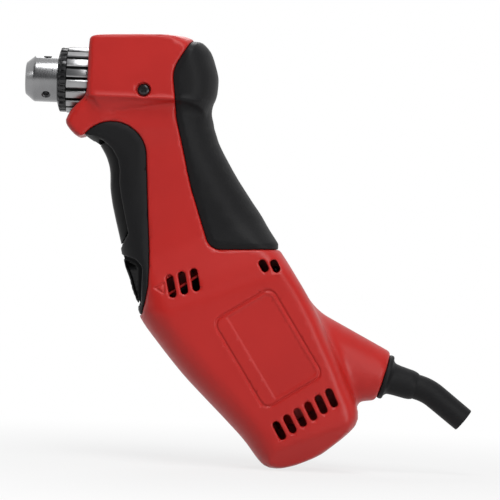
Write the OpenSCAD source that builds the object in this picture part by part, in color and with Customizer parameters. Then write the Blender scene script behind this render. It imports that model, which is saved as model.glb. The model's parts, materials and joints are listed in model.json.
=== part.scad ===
// Corded close-quarter drill with an angled head.
// The origin is the centre of the chuck's nose face, the spindle runs along +X into the tool,
// +Z is up and -Y is the side with the reversing arrow towards the viewer.

/* [Drive line] */
// Angle between the spindle and the motor shaft, degrees
head_angle = 55; // [53:0.5:57]
// Chuck nose to where the motor axis crosses the spindle line
motor_cross = 35; // [34:0.25:36]

/* [Head] */
// Half thickness of the gear head
head_half = 27; // [26.5:0.25:29]
// Spindle axis to the top of the head
head_top = 29.6; // [28.6:0.2:32]
// Chuck nose to the front face of the head
head_front = 38.4; // [37.5:0.1:39.5]
// Chuck nose to the rearmost point of the head
head_rear = 116.3; // [114:0.5:120]
// Rounding of the rim round the head
head_rim = 4; // [3:0.25:5]
// Radius of the round recess that the chuck sleeve sits in
cradle_r = 21.6; // [21:0.1:22.5]
// Chuck nose to the floor of that recess
cradle_floor = 44.5; // [44:0.1:45.5]

/* [Handle and motor case] */
// Half thickness of the handle
handle_half = 21.5; // [20.5:0.25:23]
// Half thickness of the motor case
motor_half = 33; // [32:0.25:36]
// Motor axis to the front edge of the motor case
motor_front = 48.5; // [47:0.25:51]
// Motor axis to the rear edge of the motor case
motor_rear = 45; // [44:0.25:48]
// Spindle line to the tail, along the motor axis
body_reach = 269; // [266:0.5:275]
// Thickness of the moulded shell
shell_wall = 4.5; // [4:0.1:5]
// Thickness of the rubber grips let into the shell
grip_wall = 2.2; // [1.8:0.1:2.6]

/* [Cord entry] */
// Chuck nose to the centre of the cord boss's end face, along X
boss_x = 225; // [222:0.5:228]
// Spindle axis down to the centre of the cord boss's end face
boss_drop = 172.5; // [170:0.5:175]
// Fall of the cord boss below the X direction, degrees
boss_tilt = 15.5; // [12:0.5:18]
// Radius of the cord boss at its end
boss_r = 15.4; // [14.5:0.1:17]
// Radius of the boot's flange
boot_flange_r = 13.7; // [12.5:0.1:14.5]
// Radius of the boot's thick sleeve
boot_sleeve_r = 9.2; // [8.6:0.1:10]
// Radius of the boot's bending tip
boot_tip_r = 7.4; // [6.8:0.1:8]
// Radius of the cord passage through the boot
cord_r = 4.1; // [3.5:0.1:4.5]
// Bend radius of the boot
boot_bend_r = 30; // [27:1:36]
// Bend of the boot, degrees
boot_bend = 22; // [15:1:25]

/* [Chuck] */
// Radius of the chuck's nose
nose_r = 13.9; // [13.5:0.1:14.3]
// Radius of the flat face of the nose
nose_face_r = 9.5; // [9:0.1:10]
// Radius of the chuck's sleeve
sleeve_r = 20; // [19.6:0.1:20.4]
// Chuck nose to the front of the toothed ring
ring_x = 19.6; // [19:0.1:20.2]
// Chuck nose to the back of the sleeve
sleeve_end = 42.5; // [42:0.1:43.4]
// Chuck nose to the back of the chuck
chuck_end = 50; // [49.5:0.1:50.3]
// Radius of the shank bore
bit_r = 5.2; // [5:0.05:5.4]
// Depth of the shank bore
bit_depth = 28; // [26:0.5:28.5]
// Radius of a jaw
jaw_r = 2.6; // [2.5:0.05:2.65]
// Lean of a jaw to the spindle axis, degrees
jaw_lean = 14; // [13:0.25:14.25]
// Number of teeth for the chuck key
ring_teeth = 30; // [24:2:36]
// Number of flutes round the sleeve
sleeve_flutes = 18; // [12:1:24]

/* [Gears] */
// Module of the motor stage
spur_module = 0.7; // [0.66:0.01:0.74]
// Teeth on the motor pinion
motor_pinion_teeth = 9; // [9:2:9]
// Teeth on the first-stage gear
stage_gear_teeth = 39; // [39:1:39]
// Module of the bevel stage at its large end
bevel_module = 1.1; // [1.06:0.01:1.12]
// Teeth on the bevel pinion
bevel_pinion_teeth = 9; // [9:2:9]
// Teeth on the bevel gear
bevel_gear_teeth = 32; // [32:1:32]
// Width of the bevel teeth
bevel_face = 7; // [6:0.25:7.5]
// Width of the spur teeth
spur_face = 9; // [8:0.25:9.5]

/* [Shafts and bearings] */
// Radius of the spindle in its front bearing
spindle_r = 6; // [5.7:0.05:6.2]
// Radius of the spindle in its rear bush
spindle_tail_r = 5; // [4.7:0.05:5.2]
// Radius of the layshaft
layshaft_r = 4; // [3.8:0.05:4.1]
// Radius of the armature shaft in its bearings
armature_shaft_r = 3.5; // [3.3:0.05:3.7]
// Outer radius of the spindle's front bearing
front_bearing_r = 14; // [13.5:0.1:14.2]
// Outer radius of the layshaft's upper bearing
lay_bearing_r = 11; // [10.5:0.1:11.2]
// Outer radius of the armature's bearings
armature_bearing_r = 9.5; // [9.2:0.05:9.6]

/* [Motor] */
// Depth of the field iron and coils round the armature
field_build = 11.52; // [11.2:0.02:11.8]
// Length of the armature's iron core as a share of the reach
core_share = 0.1636; // [0.156:0.001:0.17]
// Step in from the outside of the field iron to the rim of the fan
fan_inset = 5.52; // [5.02:0.25:7.02]
// Room between the fan and the armature winding
fan_room = 2; // [1.5:0.1:2.5]

/* [Trigger and reversing lever] */
// Half width of the trigger
trigger_half = 10.5; // [9.5:0.1:10.8]
// Radius of the trigger's pin
trigger_pin_r = 1.5; // [1.3:0.05:1.7]
// Depth of the reversing lever in front of its wall
lever_depth = 11.4; // [10.5:0.1:12]
// Drop of the reversing lever below its pivot
lever_drop = 20.3; // [19:0.1:20.8]
// Radius of the rounded top of the reversing lever
lever_top_r = 7.2; // [6.6:0.1:7.4]

/* [Hidden] */
$fn = 48;
arc_steps = 4;
run_gap = 0.04;
fit_gap = 0.12;
seat_gap = 0.4;
over = 1;
far = 2 * body_reach;
small_fn = 16;

// Gear train
pressure_angle = 20;
tooth_slack = 0.1;
tooth_height_shares = [-1.2, -0.55, 0.2, 0.85];
tip_share = 0.12;
root_share = 1.25;
least_angle = 0.4;
pinion_shift_share = 0.4;
stage_offset = spur_module * (motor_pinion_teeth + stage_gear_teeth) / 2;
apex_x = motor_cross + stage_offset / sin(head_angle);
apex_s = stage_offset / tan(head_angle);
pinion_cone = atan2(sin(head_angle), bevel_gear_teeth / bevel_pinion_teeth + cos(head_angle));
gear_cone = head_angle - pinion_cone;
bevel_pitch_r = bevel_module * bevel_gear_teeth / 2;
cone_reach = bevel_pitch_r / sin(gear_cone);
bevel_back_x = apex_x + cone_reach * cos(gear_cone);
pinion_back_t = cone_reach * cos(pinion_cone);
bevel_web = 3;
bevel_hub_r = 10;
bevel_hub = 9.6;

// Head casting
case_r = head_half - shell_wall - seat_gap;
case_wall = 2.4;
case_nose_x = chuck_end + 0.5 * seat_gap;
front_bearing_w = 8;
case_lip = 1.8;
front_bearing_x = case_nose_x + case_lip;
case_nose_wall = 2.5;
case_nose_r = front_bearing_r + case_nose_wall;
case_lip_r = 9.5;
bearing_step = 2;
case_room_x = front_bearing_x + front_bearing_w + bearing_step;
case_cone = 2;
case_cone_x = case_room_x + case_cone;
case_step_r = 11;
case_end_x = bevel_back_x + bevel_hub;
neck_wall = 2.5;
neck_r = lay_bearing_r + neck_wall;
neck_from = 18;
pinion_room_r = 6.6;
pinion_room_from = 16;
collar_gap = 1.5;
collar_w = 1.5;
collar_r = 5.5;
lay_bearing_t = pinion_back_t + collar_gap + collar_w;
lay_bearing_w = 7;
neck_lip = 1.1;
neck_to = lay_bearing_t + lay_bearing_w + neck_lip;
lug_r = 3.2;
lug_ring_r = case_r - lug_r;
lug_len = 6;
lug_x = case_end_x - lug_len;
lug_count = 4;
lug_hole_r = 1.6;
lug_screw = 4.5;
lug_cap = 2;
lug_cap_r = 2.9;
cover_plate = 3.4;
cover_boss_r = 10.5;
bush_wall = 3;
bush_len = 9;
bush_lip = 1;
bush_x = case_end_x + cover_plate - bush_lip;
cover_end_x = bush_x + bush_len + bush_lip;
spindle_flange_r = 8.5;
spindle_ring_r = 8.4;
spindle_ring_w = 1.2;
spindle_ring_split = 3;
ring_room = 1.4;
side_screw_x = 72.7;
side_screw_z = -5.4;
side_screw_r = 2;
side_screw_head_r = 3.6;
side_screw_head = 2.4;
side_screw_tip = 20.3;
side_screw_seat = 24;
side_recess_r = 4.3;

// Chuck
nose_chamfer = 5.4;
ring_w = 5.4;
ring_cone = 1.5;
ring_step = 0.5;
ring_r = sleeve_r - ring_step;
ring_lip = 0.7;
ring_lip_r = nose_r + ring_lip;
body_r = 17.3;
nut_x = 24.2;
nut_len = 5;
nut_gap = 0.2;
lip_gap = 0.6;
jaw_start = -4;
jaw_play = 0.15;
groove_r = 12.6;
hub_r = 12;
hub_x = 44;
hub_taper = 5;
jaw_rho = 5.2;
jaw_open = 5.4;
jaw_from = 0.6;
jaw_back = 31;
jaw_land = 0.6;
jaw_spread_share = 1.6;
jaw_bore_to = 33;
jaw_angles = [16, 136, 256];
key_hole_r = 2.1;
key_hole_x = 13;
key_hole_to = 9.2;
key_angles = [76, 196, 316];
tooth_side = 1.5;
tooth_len = 4.2;
tooth_in = 0.4;
tooth_lean = 14;
flute_w = 1.7;
flute_depth = 0.9;
screw_head_r = 4.4;
screw_head = 2.7;
screw_r = 2.5;
screw_room = 3;
screw_seat_x = bit_depth + screw_room;
screw_tip_x = 44;
chuck_web = 2.5;
socket_x = screw_seat_x + chuck_web;
screw_play = 0.15;
screw_end_room = 2;
thread_r = 4.8;

// Layshaft and armature, along the motor axis
field_place_share = 0.58736;
field_from = field_place_share * body_reach;
core_inset = 1;
core_from = field_from + core_inset;
core_len = core_share * body_reach;
winding_share = 0.03346;
winding_len = winding_share * body_reach;
fan_w_share = 0.03717;
fan_w = fan_w_share * body_reach;
fan_from = core_from - winding_len - fan_room - fan_w;
plate_place_share = 0.46097;
plate_w = 7.5;
plate_from = plate_place_share * body_reach;
stage_gap = 3;
stage_from = plate_from - stage_gap - spur_face;
plate_front = -6;
plate_rib = 3.5;
plate_edge = 1.2;
lay_bush_wall = 2;
lay_bush_r = layshaft_r + lay_bush_wall;
plate_share = 0.591;
plate_most_r = 19.5;
plate_least_r = stage_offset + plate_front + lay_bush_r + plate_edge;
plate_r = min(plate_most_r, max(plate_share * motor_half, plate_least_r));
plate_lip = 0.5;
plate_floor = 1;
plate_shaft_gap = 2.5;
stage_hub = 2;
stage_hub_r = 8;
shoulder = 1;
bush_w = 6.5;
small_bearing_w = 6;
fan_disc = 2;
fan_hub_r = 8;
fan_blade = 1.4;
fan_blades = 14;
armature_gap = 0.5;
field_most_share = 0.6517;
field_r = min(motor_half - shell_wall - 1.2 * seat_gap, field_most_share * motor_front);
armature_r = field_r - field_build;
fan_r = field_r - fan_inset;
commutator_share = 0.697;
commutator_r = commutator_share * armature_r;
core_slots = 12;
slot_w = 2.6;
slot_depth_share = 0.4242;
slot_depth = slot_depth_share * armature_r;
shaft_mid_r = 5;
winding_in_r = 6;
winding_gap = 0.1;
winding_inset = 1;
winding_slope_share = 0.303;
winding_slope = winding_slope_share * armature_r;
winding_knee_share = 0.6;
commutator_gap = 2;
commutator_from = core_from + core_len + winding_len + commutator_gap;
commutator_len_share = 0.05204;
commutator_len = commutator_len_share * body_reach;
commutator_bars = 24;
bar_slit = 0.5;
bar_depth = 1;
rear_gap_share = 0.03346;
rear_gap = rear_gap_share * body_reach;
rear_bearing_from = commutator_from + commutator_len + rear_gap;
rear_rib_w = 7;
rear_rib_r = 14;
rear_rib_bar = 4;
shaft_end = rear_bearing_from + small_bearing_w + shoulder;
field_len = core_len + 2 * core_inset;
field_yoke = 4.4;
coil_gap = 0.6;
coil_fit = 0.3;
coil_lift = 0.2;
coil_in_r = armature_r + armature_gap + coil_gap;
coil_out_r = field_r - field_yoke;
coil_from_f = 1.5;
coil_to_f = 11;
coil_end = 7;
brush_s = commutator_from + 0.5 * commutator_len;
brush_w = 6.3;
brush_h = 8;
holder_wall = 1.4;
holder_gap = 2.5;
holder_inset = 1;
holder_from = commutator_r + holder_gap;
holder_to = field_r - holder_inset;
brush_len_share = 0.357;
brush_len = brush_len_share * field_r;
brush_to = commutator_r + brush_len;
spring_r = 2.8;
spring_inset = 1;
card_w = 3;
card_inset = 0.2;
card_gap = 1.2;
card_r = field_r - card_inset;
card_hole_r = commutator_r + card_gap;

// Screws through the two housing halves, as shares of the reach and of the front edge
screw_spot_shares = [
    [-0.0306, -0.559], [0.093, 0.37], [0.4345, 0.35], [0.595, -0.755], [0.614, 0.765],
    [0.908, 0.555], [0.908, -0.64]
];
screw_boss_r = 4.6;
screw_shank_r = 1.6;
screw_cap_r = 3.7;
screw_cap = 2.8;
screw_seat = 14;
screw_tip = 13;
screw_hole_r = 1.85;
screw_well_r = 4.2;

// Trigger, switch and lever
trigger_pin_shares = [0.3385, 0.4227];
trigger_pin_s = trigger_pin_shares[0] * body_reach;
trigger_pin_f = trigger_pin_shares[1] * motor_front;
trigger_pin_half = 15.4;
pin_boss_r = 3.6;
lug_eye_r = 3.6;
lug_root_r = 2.4;
lug_root_shares = [0.327, 0.515];
trigger_side_gap = 0.6;
trigger_slot_half = trigger_half + trigger_side_gap;
switch_lean = 26;
switch_len = 33;
switch_deep = 12.5;
switch_half = 10;
switch_pad_len = 12;
switch_pad_deep = 8;
plunger_r = 2.6;
plunger_down_share = 0.03346;
plunger_down = plunger_down_share * body_reach;
plunger_out = 5.75;
plunger_in = 7;
plunger_room = 11.5;
plunger_tip_shares = [0.2363, 0.2167];
switch_s = plunger_tip_shares[0] * body_reach - plunger_down * cos(switch_lean)
    + plunger_out * sin(switch_lean);
switch_f = plunger_tip_shares[1] * motor_front - plunger_out * cos(switch_lean)
    - plunger_down * sin(switch_lean);
lever_s_share = 0.434;
lever_f_share = 0.667;
lever_x = motor_cross + lever_s_share * body_reach * cos(head_angle)
    - lever_f_share * motor_front * sin(head_angle);
lever_z = -lever_s_share * body_reach * sin(head_angle)
    - lever_f_share * motor_front * cos(head_angle);
lever_gap = 0.8;
lever_wall = 3.2;
lever_low_r = 4.2;
lever_stud_r = 3;
lever_stud = 9;
lever_ring_r = 5.4;
lever_ring_w = 1.2;

// Cord boss and boot
boss_top_slope_share = 0.204;
boss_low_slope_share = 0.43;
boss_side_slope_share = 0.12;
boss_root = 60;
boss_edge = 1.4;
boot_plug_step = 1;
boot_plug_r = boot_sleeve_r + boot_plug_step;
boot_plug = 12;
boot_flange = 4.6;
boot_sleeve = 20;
boot_step = 3;
boot_tip = 22.5;
boot_lip = 0.4;
boot_lap = 2;
mouth_step = 0.2;
passage_to = 60;

// Side outline of the body: front edge and rear edge as shares along the reach and out from
// the motor axis, flare from handle to motor case, then the edge rounding as shares of the
// half thickness: front depth, front height, rear depth, rear height
body_row_shares = [
    [0.016, -0.06, 0.171, 1.31, 0.1, 0.18, 0.22, 0.9, 0.95],
    [0.033, 0.047, 0.2, 1.267, 0.1, 0.18, 0.22, 0.9, 0.95],
    [0.045, 0.322, 0.214, 1.211, 0.1, 0.18, 0.22, 0.9, 0.95],
    [0.061, 0.46, 0.223, 1.178, 0.1, 0.18, 0.22, 0.9, 0.95],
    [0.074, 0.47, 0.23, 1.162, 0.1, 0.18, 0.22, 0.9, 0.95],
    [0.1, 0.441, 0.24, 1.14, 0.1, 0.2, 0.25, 0.9, 0.95],
    [0.112, 0.348, 0.249, 1.116, 0.08, 0.35, 0.45, 0.9, 0.95],
    [0.144, 0.272, 0.268, 1.084, 0.03, 0.6, 0.7, 0.9, 0.95],
    [0.17, 0.27, 0.286, 1.056, 0, 0.65, 0.75, 0.9, 0.95],
    [0.198, 0.311, 0.309, 1.038, 0, 0.65, 0.75, 0.9, 0.95],
    [0.223, 0.39, 0.331, 1.027, 0, 0.65, 0.75, 0.9, 0.95],
    [0.26, 0.501, 0.357, 1.016, 0, 0.65, 0.75, 0.9, 0.95],
    [0.311, 0.608, 0.39, 1.009, 0, 0.65, 0.75, 0.9, 0.95],
    [0.362, 0.722, 0.435, 1.009, 0.02, 0.65, 0.75, 0.9, 0.95],
    [0.396, 0.796, 0.472, 1.013, 0.09, 0.65, 0.75, 0.85, 0.9],
    [0.442, 0.866, 0.517, 1, 0.36, 0.6, 0.75, 0.6, 0.75],
    [0.494, 0.936, 0.569, 1, 0.76, 0.55, 0.7, 0.4, 0.55],
    [0.511, 0.988, 0.591, 1, 0.87, 0.55, 0.7, 0.34, 0.48],
    [0.539, 1, 0.621, 0.996, 1, 0.55, 0.7, 0.27, 0.4],
    [0.608, 0.973, 0.669, 0.987, 1, 0.55, 0.7, 0.25, 0.36],
    [0.677, 0.934, 0.725, 0.96, 1, 0.55, 0.7, 0.25, 0.36],
    [0.749, 0.864, 0.781, 0.907, 1, 0.55, 0.7, 0.25, 0.36],
    [0.823, 0.784, 0.844, 0.851, 1, 0.52, 0.68, 0.25, 0.36],
    [0.885, 0.728, 0.9, 0.793, 0.96, 0.5, 0.65, 0.28, 0.4],
    [0.933, 0.711, 0.95, 0.742, 0.87, 0.45, 0.6, 0.3, 0.42],
    [0.955, 0.68, 0.972, 0.689, 0.74, 0.42, 0.55, 0.32, 0.45],
    [0.976, 0.557, 0.987, 0.589, 0.4, 0.45, 0.55, 0.4, 0.5],
    [0.991, 0.351, 0.996, 0.378, -0.3, 0.5, 0.6, 0.5, 0.6],
    [1, 0.124, 1, 0.133, -1, 0.5, 0.6, 0.5, 0.6]
];
room_rows = 24;

// Side outline of the head: height, set-back of the front, set-back of the rear, thickness
head_row_shares = [
    [1, 0.17, 0.31, 0.7], [0.966, 0.075, 0.25, 0.85], [0.9, 0.028, 0.185, 0.935],
    [0.81, 0.005, 0.125, 0.98], [0.66, 0, 0.07, 1], [0.4, 0, 0.03, 1], [0.1, 0, 0.003, 1],
    [-0.15, 0, 0.008, 1], [-0.28, 0.002, 0.02, 0.985], [-0.34, 0.02, 0.03, 0.93],
    [-0.4, 0.05, 0.04, 0.84], [-0.46, 0.08, 0.05, 0.72]
];
head_rear_depth_share = 0.6;
head_rear_height_share = 0.85;
head_room_row = 3;

// Discs that draw the rubber areas: along the reach, then place and radius as shares of the front
// edge for the front grip and of the rear edge for the rear grip
front_grip_shares = [
    [0.182, 0.2052, 0.4326], [0.225, 0.3217, 0.4104], [0.27, 0.4437, 0.3827],
    [0.32, 0.5879, 0.3661], [0.372, 0.7321, 0.3439], [0.409, 0.8042, 0.294],
    [0.445, 0.8708, 0.2329], [0.484, 0.9207, 0.1198], [0.512, 0.9595, 0.0311]
];
rear_grip_shares = [
    [0.122, -1.602, 0.3646], [0.147, -1.3868, 0.4125], [0.186, -1.3091, 0.4513],
    [0.224, -1.2254, 0.4902], [0.262, -1.1537, 0.5021], [0.302, -1.076, 0.5141],
    [0.336, -1.0282, 0.547], [0.372, -0.9804, 0.5739]
];
rear_grip_corner_shares = [
    [0.463, -0.4424, 0.2032], [0.547, -1.2314, 0.2032]
];

// Trigger: front edge and rear edge as shares along the reach and of the front edge
trigger_row_shares = [
    [0.1465, 0.262, 0.143, 0.135], [0.17, 0.27, 0.1705, 0.095], [0.198, 0.311, 0.2015, 0.11],
    [0.217, 0.367, 0.223, 0.17], [0.2385, 0.443, 0.2455, 0.26], [0.2735, 0.534, 0.273, 0.33],
    [0.305, 0.6, 0.3215, 0.43], [0.342, 0.675, 0.338, 0.48], [0.36, 0.708, 0.3435, 0.505]
];
trigger_edge_share = 0.45;
// Seam in front of which the shell gives way to the trigger, then points well outside
seam_shares = [
    [0.1355, 0.21], [0.1465, 0.186], [0.169, 0.153], [0.195, 0.163], [0.2175, 0.214],
    [0.2405, 0.303], [0.2675, 0.375], [0.318, 0.487], [0.3495, 0.555], [0.363, 0.715],
    [0.372, 0.9], [0.25, 0.9], [0.15, 0.33], [0.1445, 0.276]
];
// Slot behind the seam that the trigger swings in
slot_shares = [
    [0.131, 0.3], [0.1295, -0.075], [0.2, -0.09], [0.372, 0.33], [0.3615, 0.46],
    [0.3645, 0.73], [0.372, 0.9], [0.25, 0.9]
];
// Reversing lever seen from the side, and its notch: depth in front of the wall, height
lever_outline_shares = [
    [0, -0.93], [0.05, -1], [0.17, -0.97], [0.46, -0.6], [0.65, -0.23], [0.88, 0.08],
    [1, 0.31], [0.8, 0.355], [0.27, 0.24], [0.06, 0.06]
];
notch_shares = [
    [-0.07, -1.02], [0.1, -1.06], [0.6, -1.1], [1.6, -1.1], [1.6, 0.48], [0.92, 0.42],
    [0.32, 0.33], [0.04, 0.18], [-0.07, 0.06]
];
// Vents: both ends along the reach and in front of the motor axis, as shares of the front edge
upper_vent_shares = [
    [0.484, 0.4143, 0.517, 0.4864], [0.492, 0.2679, 0.525, 0.3422],
    [0.501, 0.122, 0.5335, 0.198], [0.567, -0.6545, 0.58, -0.6473],
    [0.5807, -0.7732, 0.5944, -0.7626]
];
lower_vents = 6;
lower_vent_first_shares = [0.8874, 0.2773, 0.9157, 0.2912];
lower_vent_last_shares = [0.8888, -0.4881, 0.917, -0.4642];
vent_r = 2.2;

// A point in the XZ plane from its place along and in front of the motor axis
function on_axis(s, f) = [
    motor_cross + s * cos(head_angle) - f * sin(head_angle),
    -s * sin(head_angle) - f * cos(head_angle)
];

// A rung of a lofted shell: front point, rear point, half thickness and edge rounding
function body_rung(q) = let(
    w = handle_half + q[4] * (motor_half - handle_half)
) [
    on_axis(q[0] * body_reach, q[1] * motor_front),
    on_axis(q[2] * body_reach, -q[3] * motor_rear),
    w, q[5] * w, q[6] * w, q[7] * w, q[8] * w
];

function head_rung(q) = let(
    run = head_rear - head_front,
    w = q[3] * head_half,
    z = q[0] * head_top
) [
    [head_front + q[1] * run, z], [head_rear - q[2] * run, z],
    w, head_rim, head_rim, head_rear_depth_share * w, head_rear_height_share * w
];

function trigger_rung(q) = [
    on_axis(q[0] * body_reach, q[1] * motor_front),
    on_axis(q[2] * body_reach, q[3] * motor_front),
    trigger_half, trigger_edge_share * trigger_half, trigger_edge_share * trigger_half,
    fit_gap, fit_gap
];

function boss_rung(u, shrink) = let(
    along = [cos(boss_tilt), -sin(boss_tilt)],
    up = [sin(boss_tilt), cos(boss_tilt)],
    mid = [boss_x, -boss_drop] - u * along,
    top = boss_r + u * boss_top_slope_share - shrink,
    low = boss_r + u * boss_low_slope_share - shrink,
    w = boss_r + u * boss_side_slope_share - shrink
) [mid - low * up, mid + top * up, w, low, w, top, w];

// One side of a rung, set in by t, from the middle of its front to the middle of its rear
function half_section(g, t) = let(
    run = norm(g[1] - g[0]),
    dir = (g[1] - g[0]) / run,
    front = g[0] + t * dir,
    rear = g[1] - t * dir,
    w = g[2] - t,
    rf = min(max(g[3] - t, fit_gap), (run - 2 * t) / 2 - fit_gap),
    ef = min(max(g[4] - t, fit_gap), w),
    rr = min(max(g[5] - t, fit_gap), (run - 2 * t) / 2 - fit_gap),
    er = min(max(g[6] - t, fit_gap), w)
) concat(
    [[front[0], 0, front[1]]],
    [for (k = [0:arc_steps]) let(
        a = 90 * k / arc_steps,
        p = front + rf * (1 - cos(a)) * dir
    ) [p[0], w - ef + ef * sin(a), p[1]]],
    [for (k = [arc_steps:-1:0]) let(
        a = 90 * k / arc_steps,
        p = rear - rr * (1 - cos(a)) * dir
    ) [p[0], w - er + er * sin(a), p[1]]],
    [[rear[0], 0, rear[1]]]
);

function full_section(g) = let(
    half = half_section(g, 0),
    last = len(half) - 1
) concat(half, [for (k = [last - 1:-1:1]) [half[k][0], -half[k][1], half[k][2]]]);

// A closed solid through a list of sections with the same number of points
module loft(sections) {
    m = len(sections[0]);
    n = len(sections);
    sides = [for (i = [0:n - 2], j = [0:m - 1]) let(
        a = i * m + (j + 1) % m,
        b = i * m + j,
        c = (i + 1) * m + j,
        d = (i + 1) * m + (j + 1) % m
    ) each [[a, b, c], [a, c, d]]];
    ends = [[for (j = [0:m - 1]) j], [for (j = [m - 1:-1:0]) (n - 1) * m + j]];
    polyhedron([for (s = sections) each s], concat(sides, ends), convexity = 10);
}

// Places
module on_spindle(x) {
    translate([x, 0, 0]) rotate([0, 90, 0]) children();
}

module on_motor(s) {
    translate([motor_cross, 0, 0])
        rotate([0, 90 + head_angle, 0])
            translate([0, 0, s]) children();
}

module on_layshaft(t) {
    on_motor(apex_s + t) translate([-stage_offset, 0, 0]) children();
}

module on_boss(u) {
    translate([boss_x, 0, -boss_drop])
        rotate([0, 90 + boss_tilt, 0])
            translate([0, 0, u]) children();
}

module at_switch() {
    on_motor(switch_s)
        translate([switch_f, 0, 0])
            rotate([0, switch_lean, 0]) children();
}

module at_lever() {
    translate([lever_x, 0, lever_z]) children();
}

module ring(outer, inner, h) {
    difference() {
        cylinder(h, r = outer);
        translate([0, 0, -over]) cylinder(h + 2 * over, r = inner);
    }
}

// A prism across the tool from points given in front of and along the motor axis
module side_prism(points, half) {
    on_motor(0)
        rotate([90, 0, 0])
            linear_extrude(2 * half, center = true) polygon(points);
}

module lever_prism(shares, half) {
    at_lever()
        rotate([90, 0, 0])
            linear_extrude(2 * half, center = true)
                polygon([for (q = shares) [-q[0] * lever_depth, q[1] * lever_drop]]);
}

module ball_bearing(bore, outer, w, balls) {
    race = (outer - bore) * 0.3;
    mid_r = (outer + bore) / 2;
    ball_r = (outer - bore) / 2 - race * 0.8;
    groove_r = ball_r + run_gap;
    difference() {
        ring(outer, outer - race, w);
        translate([0, 0, w / 2]) rotate_extrude() translate([mid_r, 0]) circle(groove_r);
    }
    difference() {
        ring(bore + race, bore + run_gap, w);
        translate([0, 0, w / 2]) rotate_extrude() translate([mid_r, 0]) circle(groove_r);
    }
    for (k = [0:balls - 1])
        rotate(360 * k / balls) translate([mid_r, 0, w / 2]) sphere(ball_r);
}

// Outer form of the +Y half, set in by t
module outer_half(t) {
    loft([for (q = body_row_shares) half_section(body_rung(q), t)]);
    loft([for (q = head_row_shares) half_section(head_rung(q), t)]);
}

module boss_half() {
    loft([
        half_section(boss_rung(boss_root, 0), 0),
        half_section(boss_rung(boss_root / 2, 0), 0),
        half_section(boss_rung(boss_edge, 0), 0),
        half_section(boss_rung(0, boss_edge), 0)
    ]);
}

// Hollow inside of the +Y half, kept clear of the chuck's recess
module room_half() {
    difference() {
        union() {
            loft([for (i = [0:room_rows]) half_section(body_rung(body_row_shares[i]), shell_wall)]);
            loft([for (i = [head_room_row:len(head_row_shares) - 1])
                half_section(head_rung(head_row_shares[i]), shell_wall)]);
        }
        on_spindle(0)
            cylinder(cradle_floor + shell_wall - over, r = cradle_r + shell_wall - over);
        ribs_half();
    }
}

// Walls and saddles inside the shell that hold the works
module ribs_half() {
    difference() {
        on_motor(plate_from + (plate_w - plate_rib) / 2)
            translate([-far / 2, 0, 0]) cube([far, far, plate_rib]);
        on_motor(0)
            translate([plate_front, 0, 0]) cylinder(far, r = plate_r + fit_gap);
        at_lever()
            rotate([0, 90, 0]) {
                cylinder(lever_stud + over, r = lever_stud_r + over);
                cylinder(lever_wall + seat_gap + lever_ring_w + over, r = lever_ring_r + fit_gap);
            }
    }
    difference() {
        on_motor(rear_bearing_from - (rear_rib_w - small_bearing_w) / 2) {
            cylinder(rear_rib_w, r = rear_rib_r);
            translate([-rear_rib_bar, 0, 0]) cube([2 * rear_rib_bar, far, rear_rib_w]);
            translate([-far / 2, 0, 0]) cube([far, rear_rib_bar, rear_rib_w]);
        }
        on_motor(0) cylinder(far, r = armature_bearing_r + fit_gap);
    }
    at_switch()
        translate([-switch_deep / 2 - switch_pad_deep / 2, switch_half + fit_gap,
            switch_len / 2 - switch_pad_len / 2])
            cube([switch_pad_deep, far, switch_pad_len]);
    difference() {
        at_lever()
            translate([0, 0, -1.1 * lever_drop]) cube([lever_wall, far, 1.6 * lever_drop]);
        at_lever()
            translate([-over, 0, 0])
                rotate([0, 90, 0]) cylinder(lever_wall + 2 * over, r = lever_stud_r + 2 * fit_gap);
    }
    on_motor(trigger_pin_s)
        translate([trigger_pin_f, trigger_slot_half, 0])
            rotate([-90, 0, 0]) cylinder(far, r = pin_boss_r, $fn = small_fn);
    for (q = screw_spot_shares)
        on_motor(q[0] * body_reach)
            translate([q[1] * motor_front, 0, 0])
                rotate([-90, 0, 0]) cylinder(far, r = screw_boss_r, $fn = small_fn);
}

// Openings in the shell: chuck recess, trigger, lever notch, vents and cord passage
module openings() {
    on_spindle(-over) cylinder(cradle_floor + over, r = cradle_r, $fn = 64);
    on_spindle(0) cylinder(cradle_floor + shell_wall, r = hub_r + over);
    side_prism([for (q = seam_shares) [q[1] * motor_front, q[0] * body_reach]], far);
    side_prism([for (q = slot_shares) [q[1] * motor_front, q[0] * body_reach]], trigger_slot_half);
    lever_prism(notch_shares, far);
    on_motor(trigger_pin_s)
        translate([trigger_pin_f, -trigger_pin_half - fit_gap, 0])
            rotate([-90, 0, 0])
                cylinder(2 * (trigger_pin_half + fit_gap), r = trigger_pin_r + fit_gap, $fn = small_fn);
    on_boss(-passage_to) cylinder(passage_to + over, r = boot_plug_r + fit_gap);
}

module vent(q) {
    hull() {
        for (k = [0, 2])
            on_motor(q[k] * body_reach)
                translate([q[k + 1] * motor_front, handle_half / 2, 0])
                    rotate([-90, 0, 0]) cylinder(motor_half, r = vent_r, $fn = small_fn);
    }
}

module vents_half() {
    for (q = upper_vent_shares)
        vent(q);
    for (k = [0:lower_vents - 1])
        vent(lower_vent_first_shares
            + (lower_vent_last_shares - lower_vent_first_shares) * k / (lower_vents - 1));
}

module disc(q, unit, grow) {
    on_motor(q[0] * body_reach)
        translate([q[1] * unit, 0, 0])
            rotate([90, 0, 0])
                cylinder(far, r = q[2] * unit + grow, center = true, $fn = small_fn);
}

module front_grip_zone(grow) {
    for (i = [0:len(front_grip_shares) - 2])
        hull() {
            disc(front_grip_shares[i], motor_front, grow);
            disc(front_grip_shares[i + 1], motor_front, grow);
        }
}

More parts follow.
